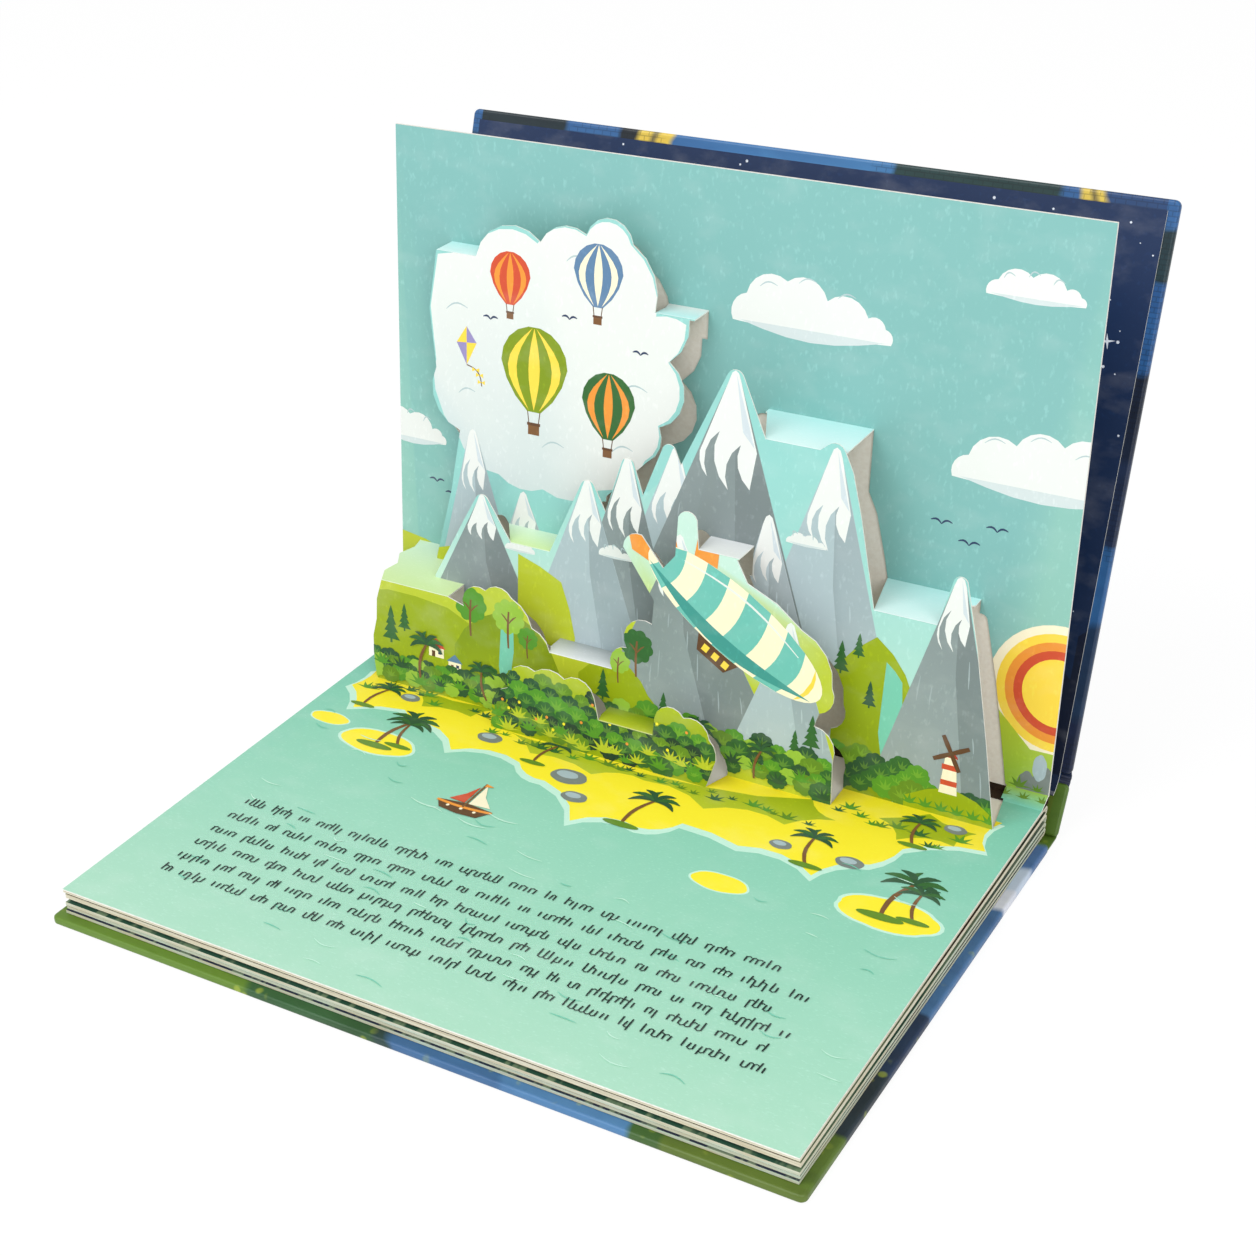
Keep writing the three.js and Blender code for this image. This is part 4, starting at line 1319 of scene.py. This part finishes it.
@dataclass
class Finish:
    """A finish of paper or card.

    Attributes:
        name: The material's name.
        slot: Name of a material slot; it is not used.
        rough: Roughness.
        coat: Weight of the satin film.
        grain: Depth of the paper's grain, in millimetres.
    """

    name: str
    slot: str
    rough: float
    coat: float
    grain: float
    material: bpy.types.Material | None = None

    def colour(self, shader: Shader) -> Socket:
        """Returns the colour of the surface."""
        raise NotImplementedError

    def apply(self, obj: bpy.types.Object) -> None:
        """Gives obj this finish, which is built on its first use."""
        if self.material is None:
            shader = Shader(self.name)
            shader.set("Base Color", self.colour(shader))
            cloudy = shader.noise(90.0, 2.0)
            shader.set("Roughness", cloudy.ramp(0.3, 0.7, self.rough - 0.04, self.rough + 0.05))
            shader.set("Coat Weight", cloudy.ramp(0.3, 0.7, self.coat, self.coat * 0.6))
            shader.surface.inputs["Coat Roughness"].default_value = 0.35
            shader.surface.inputs["Specular IOR Level"].default_value = 0.35
            grain = shader.noise(2600.0, 4.0) + shader.noise(420.0, 2.0) * 0.8
            shader.bump(grain, self.grain * MM)
            self.material = shader.material
        obj.data.materials.clear()
        obj.data.materials.append(self.material)


class PrintedCard(Finish):
    """Card printed in brushed inks, with a chalky texture."""

    def colour(self, shader: Shader) -> Socket:
        """Returns the ink's colour, broken up by brush marks and grain."""
        ink = shader.node("ShaderNodeAttribute", [], "Color", attribute_name="ink")
        brush = shader.noise(70.0, 5.0, (1.0, 1.6, 1.6))
        wash = shader.noise(16.0, 3.0)
        chalk = shader.noise(700.0, 3.0, (1.0, 2.4, 0.5))
        light = shader.mix(brush.ramp(0.5, 0.76, 0.0, 0.06), ink, (1, 1, 1, 1))
        dark = shader.mix(wash.ramp(0.42, 0.75, 0.0, 0.08), light, ink_dark(shader, ink))
        return shader.mix(chalk.ramp(0.58, 0.74, 0.0, 0.3), dark, (1, 1, 1, 1), "SOFT_LIGHT")


def ink_dark(shader: Shader, ink: Socket) -> Socket:
    """Returns the ink multiplied by itself, which deepens it."""
    return shader.mix(0.8, ink, ink, "MULTIPLY")


class CardCore(Finish):
    """Bare card: white cut edges, and a warm uncoated reverse."""

    def colour(self, shader: Shader) -> Socket:
        """Returns white on the edges and warm grey on the reverse."""
        fibre = shader.noise(900.0, 4.0, (1.0, 1.0, 1.0))
        side = shader.split(shader.normal())
        reverse = side[1].ramp(0.6, 0.9)
        edge = shader.mix(fibre.ramp(0.35, 0.7), linear((238, 237, 230)), linear((222, 221, 212)))
        back = shader.mix(fibre.ramp(0.35, 0.7), linear((232, 227, 217)), linear((224, 217, 205)))
        return shader.mix(reverse, edge, back)


class NightCore(Finish):
    """The endpaper's card: white cut edges, and night blue on its sides and its bent lip."""

    def colour(self, shader: Shader) -> Socket:
        """Returns white on the edges and night blue elsewhere."""
        broad = shader.split(shader.normal())[1].math("ABSOLUTE").ramp(0.36, 0.44)
        fibre = shader.noise(900.0, 4.0)
        edge = shader.mix(fibre.ramp(0.35, 0.7), linear((238, 237, 230)), linear((222, 221, 212)))
        return shader.mix(broad, edge, linear(Ink.NIGHT_DARK.value))


class LeafBlock(Finish):
    """The closed spreads: laminated leaf edges, with dark print in the gaps between them that is darkened
    further as painted shade.
    """

    def colour(self, shader: Shader) -> Socket:
        """Returns pale layers on the edges, and inside the gaps print darkened with painted shade."""
        place = shader.split(shader.place())
        side = shader.split(shader.normal())
        level = side[2].math("ABSOLUTE").ramp(0.7, 0.95)
        height = place[2] * 1000.0 - place[1] * 1000.0 * 0.015
        ply = shader.noise(2400.0, 3.0, (0.03, 0.03, 1.0))
        tone = shader.mix(height.ramp(7.6, 8.6), linear((188, 202, 184)), linear((216, 213, 193)))
        edge = shader.mix(ply.ramp(0.38, 0.66), tone, linear((196, 186, 158)))
        # Inside the gaps: the pop-ups' print darkened with painted shade, navy lowest, then dark green, then
        # brown.
        brown = shader.mix(height.ramp(10.4, 10.8), linear((40, 82, 62)), linear((58, 38, 20)))
        gap_print_and_shade = shader.mix(height.ramp(7.2, 7.6), linear((34, 44, 62)), brown)
        stripes = shader.noise(260.0, 2.0, (1.0, 0.06, 1.0))
        gap_print_and_shade = shader.mix(stripes.ramp(0.5, 0.6, 0.0, 0.5), gap_print_and_shade, linear((150, 170, 130)))
        top = shader.mix(height.ramp(12.2, 12.6), gap_print_and_shade, linear((234, 230, 218)))
        return shader.mix(level, edge, top)


class LeafReverse(Finish):
    """The card behind the standing page: bare board at the front, night print at the rear."""

    def colour(self, shader: Shader) -> Socket:
        """Returns warm grey to the front, white edges, and navy to the rear."""
        fibre = shader.noise(700.0, 4.0)
        side = shader.split(shader.normal())
        bare = shader.mix(fibre.ramp(0.3, 0.7), linear((234, 229, 219)), linear((226, 219, 207)))
        clouds = shader.noise(24.0, 4.0).ramp(0.35, 0.7)
        night = shader.mix(clouds, linear((22, 38, 72)), linear((34, 54, 98)))
        edge = shader.mix(side[1].ramp(0.6, 0.9), linear((236, 235, 228)), night)
        return shader.mix(side[1].ramp(-0.6, -0.9), edge, bare)


class PlainPaper(Finish):
    """Dark paper of one colour."""

    def colour(self, shader: Shader) -> Socket:
        """Returns a dark brown with faint fibres."""
        fibre = shader.noise(600.0, 4.0)
        return shader.mix(fibre.ramp(0.3, 0.7), linear((54, 36, 20)), linear((40, 26, 14)))


class MeadowWrap(Finish):
    """The back cover's and spine's wrap: fields of green and blue with brush dabs."""

    def colour(self, shader: Shader) -> Socket:
        """Returns fields of colour by their place along the front edge and the right end."""
        place = shader.place()
        warp = shader.noise(38.0, 3.0).ramp(0.2, 0.8, -0.006, 0.006)
        x, y, _ = shader.split(place)
        front = blocks(shader, x + warp, ((-140, (92, 127, 31)), (-57, (42, 88, 44)), (-6, (34, 66, 62)),
                                          (-1, (58, 104, 150)), (34, (74, 124, 170)), (79, (56, 92, 34)),
                                          (90, (88, 110, 32))))
        side = blocks(shader, y + warp, ((-120, (88, 114, 34)), (-67, (24, 42, 54)), (-40, (20, 46, 80)),
                                         (-12, (66, 110, 156)), (51, (216, 220, 230)), (64, (190, 204, 222)),
                                         (78, (78, 118, 168)), (92, (80, 112, 32))))
        right = (x > CASE.border_start * MM) * (y.ramp(-0.0925, -0.0923))
        field_colour = shader.mix(right, front, side)
        dabs = shader.node("ShaderNodeTexVoronoi", {"Vector": place, "Scale": 210.0}, "Distance")
        dab = dabs.ramp(0.34, 0.2, 0.0, 0.5) * shader.noise(60.0, 2.0).ramp(0.5, 0.62)
        lit = shader.mix(dab, field_colour, linear((176, 190, 60)))
        brush = shader.noise(120.0, 4.0, (0.25, 1.0, 1.0))
        return shader.mix(brush.ramp(0.42, 0.75, 0.0, 0.5), lit, ink_dark(shader, lit))


class NightWrap(Finish):
    """The front cover's wrap: a border of blue and dark blocks, and a night sky over roofs outside."""

    def colour(self, shader: Shader) -> Socket:
        """Returns the border's blocks or the outer face's sky, with brickwork in places."""
        place = shader.place()
        warp = shader.noise(38.0, 3.0).ramp(0.2, 0.8, -0.005, 0.005)
        x, _, z = shader.split(place)
        top = blocks(shader, x + warp, ((-140, (24, 44, 52)), (-96, (52, 104, 160)), (-72, (24, 34, 44)),
                                        (-63, (236, 208, 88)), (-57.5, (30, 56, 84)), (-56, (236, 208, 88)),
                                        (-50.5, (58, 116, 172)), (-14, (64, 124, 178)), (34, (28, 62, 62)),
                                        (92, (46, 100, 156)), (99, (226, 198, 84)), (103, (24, 40, 60)),
                                        (104.5, (226, 198, 84)), (108, (34, 70, 118))))
        side = blocks(shader, z + warp, ((0, (20, 34, 66)), (40, (24, 52, 84)), (70, (44, 98, 152)),
                                         (96, (26, 44, 76)), (120, (20, 34, 58)), (150, (40, 92, 148)),
                                         (176, (24, 52, 60)), (194, (46, 100, 156))))
        border = shader.mix(x.math("ABSOLUTE") > CASE.border_start * MM, top, side)
        roofs = z < shader.noise(22.0, 2.0, (1.0, 0.0, 0.0)).ramp(0.3, 0.7, 0.05, 0.13)
        sky = shader.mix(shader.noise(11.0, 4.0).ramp(0.3, 0.7), linear((24, 54, 98)), linear((48, 96, 148)))
        outer = shader.mix(roofs, sky, linear((20, 36, 62)))
        base = shader.mix(shader.split(shader.normal())[1].ramp(0.6, 0.9), border, outer)
        turned = shader.node("ShaderNodeMapping", {"Vector": place, "Rotation": (math.pi / 2, 0, 0)})
        bricks = shader.node(
            "ShaderNodeTexBrick",
            {"Vector": turned, "Color1": (1, 1, 1, 1), "Color2": (0.8, 0.8, 0.8, 1), "Mortar": (0, 0, 0, 1),
             "Scale": 260.0, "Mortar Size": 0.05, "Brick Width": 0.9, "Row Height": 0.42},
            "Color",
        )
        walls = shader.noise(14.0, 1.0).ramp(0.48, 0.5)
        mortar = shader.mix(walls * 0.45, base, shader.mix(0.75, base, bricks, "MULTIPLY"))
        brush = shader.noise(120.0, 4.0, (0.25, 1.0, 1.0))
        return shader.mix(brush.ramp(0.42, 0.75, 0.0, 0.45), mortar, ink_dark(shader, mortar))


def blocks(shader: Shader, at: Socket, steps: tuple) -> Socket:
    """Returns colours that follow one another along a line, with soft ends.

    Args:
        shader: The material.
        at: The place on the line, in metres.
        steps: Where each colour begins, in millimetres, with the colour.

    Returns:
        The colour.
    """
    result: object = linear(steps[0][1])
    for start, colour in steps[1:]:
        result = shader.mix(at.ramp(start * MM - 0.0012, start * MM + 0.0012), result, linear(colour))
    return result


PRINT = PrintedCard("printed_card", "printed_card", 0.5, 0.12, 0.012)
NIGHT_PRINT = PrintedCard("night_print", "night_card", 0.48, 0.15, 0.01)
CORE = CardCore("card_core", "printed_card", 0.75, 0.0, 0.03)
BLOCK = LeafBlock("leaf_block", "leaf_card", 0.7, 0.0, 0.03)
REVERSE = LeafReverse("leaf_reverse", "uncoated_card", 0.72, 0.02, 0.03)
NIGHT_CORE = NightCore("night_core", "night_card", 0.7, 0.0, 0.03)
STRIP = PlainPaper("gutter_paper", "dark_paper", 0.8, 0.0, 0.03)
MEADOW = MeadowWrap("meadow_wrap", "printed_wrap", 0.42, 0.3, 0.02)
NIGHT_WRAP = NightWrap("night_wrap", "night_wrap", 0.42, 0.3, 0.02)


# Straps, covers and hinges


@dataclass(frozen=True)
class Strap:
    """A level strap's print: its place and the inks at its back and front."""

    name: str
    height: float
    left: float
    right: float
    back: float
    front: float
    ink_back: Ink
    ink_front: Ink

    def build(self) -> None:
        """Prints the strap's top."""
        plate = Plate(f"{self.name}_strap_print")
        fade = (self.ink_front, (0, -self.back - 1), (0, -self.front + 1))
        ground = rectangle(self.left - 3, self.right + 3, -self.front - 3, -self.back + 3)
        plate.add(ground, self.ink_back, fade=fade)
        edge = rectangle(self.left - 3, self.right + 3, -self.front - 3, -self.front + 0.55)
        plate.add(edge, mixed(self.ink_front.value, (255, 255, 255), 0.5))
        face = level_face(
            self.height, left=self.left - 1, right=self.right + 1, low=-self.front - 1, high=-self.back + 1
        )
        printed(plate, face, PRINT, "block")


STRAPS = (
    Strap("cloud_left", 156.5, -106.5, -88, 0, 10, Ink.STRAP_TEAL, Ink.STRAP_PALE),
    Strap("cloud_right", 147.5, -21, -4, 0, 10, Ink.CLOUD, Ink.STRAP_TEAL),
    Strap("saddle", 60.5, -78, -51, 10, 23, Ink.STRAP_MINT, Ink.STRAP_GREEN),
    Strap("summit", 117.5, 20, 58, 0, 23, Ink.STRAP_TEAL, Ink.STRAP_PALE),
    Strap("right", 67, 65, 100, 0, 23, Ink.STRAP_TEAL, Ink.STRAP_PALE),
    Strap("shelf", 40, -123, -87, 0, 34, Ink.STRAP_MINT, Ink.STRAP_GREEN),
    Strap("valley", 28.5, -46, -16, 23, 34, Ink.STRAP_GREY, Ink.STRAP_WHITE),
    Strap("crest", 80, 12, 28, 23, 34, Ink.STRAP_WHITE, Ink.CLOUD),
    Strap("bush", 14, -19, 4.5, 34, 44, Ink.HILL_SHADE, Ink.HILL_LIGHT),
)


def print_spread() -> None:
    """Prints every face of the open spread."""
    printed(print_sky(), standing_face(0.0), PRINT, "block")
    printed(print_cloud_layer(), standing_face(SPREAD.cloud_depth), PRINT, "block")
    printed(print_peaks(), standing_face(SPREAD.peak_depth), PRINT, "block")
    printed(print_hills(), standing_face(SPREAD.hill_depth), PRINT, "block")
    printed(print_bushes(), standing_face(SPREAD.bush_depth), PRINT, "block")
    printed(print_sea(), level_face(0.0), PRINT, "block")
    printed(print_gutter_ramp(), ramp_face(), PRINT, "block")
    for strap in STRAPS:
        strap.build()


def print_endpaper() -> None:
    """Prints the night sky on the front cover's endpaper."""
    origin = CASE.cover_matrix @ Vector((0, 0, CASE.board_thickness + CASE.glue_gap + CASE.card_thickness))
    up = CASE.cover_matrix.to_3x3() @ Vector((0, 1, 0))
    face = Face("endpaper", plane(origin, Vector((1, 0, 0)), up))
    printed(print_night(), face, NIGHT_PRINT, "cover_body")


@dataclass(frozen=True)
class HingeStrip:
    """A flexible strip of wrap between two boards, drawn out along the spine.

    Attributes:
        name: The piece's name.
        middle: Its middle line as (y, z) points in millimetres, from the first board to the second.
        node: The CAD node that it replaces.
        bodies: The bodies that it joins; it is not used.
        finish: Its finish.
    """

    name: str
    middle: tuple[Point, ...]
    node: str
    bodies: tuple[str, str]
    finish: Finish

    def build(self) -> None:
        """Models the strip from a plane that is cut into rows and set on its middle line."""
        rows = len(self.middle) - 1
        bpy.ops.object.select_all(action="DESELECT")
        bpy.ops.mesh.primitive_grid_add(x_subdivisions=12, y_subdivisions=rows, size=2)
        strip = bpy.context.active_object
        strip.name = self.name
        for vertex in strip.data.vertices:
            row = round((vertex.co.y + 1) / 2 * rows)
            y, z = self.middle[row]
            vertex.co = Vector((vertex.co.x * (CASE.half_width - 0.4), y, z)) * MM
        solid = strip.modifiers.new("thickness", "SOLIDIFY")
        solid.thickness = CASE.hinge_thickness * MM
        solid.offset = 0
        bevel = strip.modifiers.new("edge", "BEVEL")
        bevel.width = 0.2 * MM
        bevel.segments = 2
        for modifier in (solid, bevel):
            bpy.ops.object.modifier_apply(modifier=modifier.name)
        bpy.ops.object.shade_smooth_by_angle(angle=math.radians(40))
        self.finish.apply(strip)
        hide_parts(self.node)
        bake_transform(strip)


def build_hinges() -> None:
    """Models the two hinge strips."""
    rear = ((94.6, 0.62), (95.6, 0.42), (97.4, 0.4), (99.6, 0.4), (101.8, 0.4), (103.4, 0.48),
            (104.3, 1.15), (104.9, 2.2))
    HingeStrip("rear_hinge_wrap", rear, "rear_hinge", ("block", "spine_body"), MEADOW).build()
    lean = math.radians(CASE.cover_lean)
    pivot_y, pivot_z = CASE.front_pivot
    curve = [(112.0, 14.9), (112.7, 16.0), (113.7, 16.7)]
    for along, out in ((1.0, 0.2), (1.9, 0.85), (2.7, 0.75), (3.4, 0.1), (4.2, -0.5)):
        curve.append((pivot_y + along * math.sin(lean) + out * math.cos(lean),
                      pivot_z + along * math.cos(lean) - out * math.sin(lean)))
    bodies = ("spine_body", "cover_body")
    HingeStrip("front_hinge_wrap", tuple(curve), "front_hinge", bodies, NIGHT_WRAP).build()


def finish_solids() -> None:
    """Gives each CAD node that stays in view its finish."""
    finishes = {
        "back_cover": MEADOW,
        "spine": MEADOW,
        "front_cover": NIGHT_WRAP,
        "page_block": BLOCK,
        "popup_sheet": CORE,
        "gutter_strip": STRIP,
        "leaf_back": REVERSE,
        "endpaper": NIGHT_CORE,
    }
    for name, finish in finishes.items():
        finish.apply(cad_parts[name])


# Stage


def build_stage() -> None:
    """Makes the pale floor, which looks brighter to the camera than it lights the book."""
    bpy.ops.object.select_all(action="DESELECT")
    bpy.ops.mesh.primitive_plane_add(size=8, location=(0, 0, -0.0002))
    floor = bpy.context.active_object
    floor.name = "floor"
    shader = Shader("floor")
    tree = shader.tree
    shader.set("Base Color", (0.93, 0.93, 0.93, 1))
    shader.set("Roughness", 0.9)
    shader.surface.inputs["Specular IOR Level"].default_value = 0.1
    glow = shader.node("ShaderNodeEmission", {"Color": (1, 1, 1, 1), "Strength": 1.04}, "Emission")
    path = shader.node("ShaderNodeLightPath", [], "Is Camera Ray")
    mixer = tree.nodes.new("ShaderNodeMixShader")
    shader.feed(mixer.inputs[0], path * 0.86)
    tree.links.new(shader.surface.outputs[0], mixer.inputs[1])
    shader.feed(mixer.inputs[2], glow)
    output = next(n for n in tree.nodes if n.type == "OUTPUT_MATERIAL")
    tree.links.new(mixer.outputs[0], output.inputs[0])
    floor.data.materials.append(shader.material)


@dataclass(frozen=True)
class Lamp:
    """A square soft light."""

    name: str
    place: tuple[float, float, float]
    target: tuple[float, float, float]
    size: float
    power: float

    def build(self) -> None:
        """Makes the light and aims it."""
        data = bpy.data.lights.new(self.name, "AREA")
        data.size = self.size
        data.energy = self.power
        lamp = bpy.data.objects.new(self.name, data)
        bpy.context.collection.objects.link(lamp)
        lamp.location = self.place
        aim = Vector(self.target) - Vector(self.place)
        lamp.rotation_euler = aim.to_track_quat("-Z", "Y").to_euler()


@dataclass(frozen=True)
class View:
    """The photograph's camera: its place in metres, turn and field of view in degrees, and shift."""

    place: tuple[float, float, float] = (0.3063, -0.4864, 0.4004)
    turn: tuple[float, float, float] = (61.877, 1.063, 29.916)
    field_of_view: float = 33.02
    shift: tuple[float, float] = (0.01673, 0.00518)

    def build(self) -> None:
        """Makes the camera and gives it to the scene."""
        data = bpy.data.cameras.new("camera")
        data.sensor_fit = "HORIZONTAL"
        data.angle = math.radians(self.field_of_view)
        data.shift_x, data.shift_y = self.shift
        data.clip_start = 0.01
        camera = bpy.data.objects.new("camera", data)
        bpy.context.collection.objects.link(camera)
        camera.location = self.place
        camera.rotation_euler = [math.radians(angle) for angle in self.turn]
        bpy.context.scene.camera = camera


def build_lights() -> None:
    """Makes the soft studio light."""
    Lamp("key", (-0.6, -1.0, 1.5), (0, 0, 0.05), 1.1, 15).build()
    Lamp("fill", (1.2, -1.1, 1.0), (0, 0, 0.08), 1.2, 15).build()
    world = bpy.data.worlds.new("world")
    world.use_nodes = True
    background = next(n for n in world.node_tree.nodes if n.type == "BACKGROUND")
    background.inputs["Color"].default_value = (1, 1, 1, 1)
    background.inputs["Strength"].default_value = 0.62
    bpy.context.scene.world = world
    bpy.context.scene.view_settings.view_transform = "Standard"


def main() -> None:
    """Builds the whole scene."""
    logging.basicConfig(level=logging.INFO)
    finish_solids()
    print_spread()
    LOG.info("the spread is printed")
    print_endpaper()
    build_hinges()
    build_stage()
    build_lights()
    View().build()


if __name__ == "__main__":
    main()
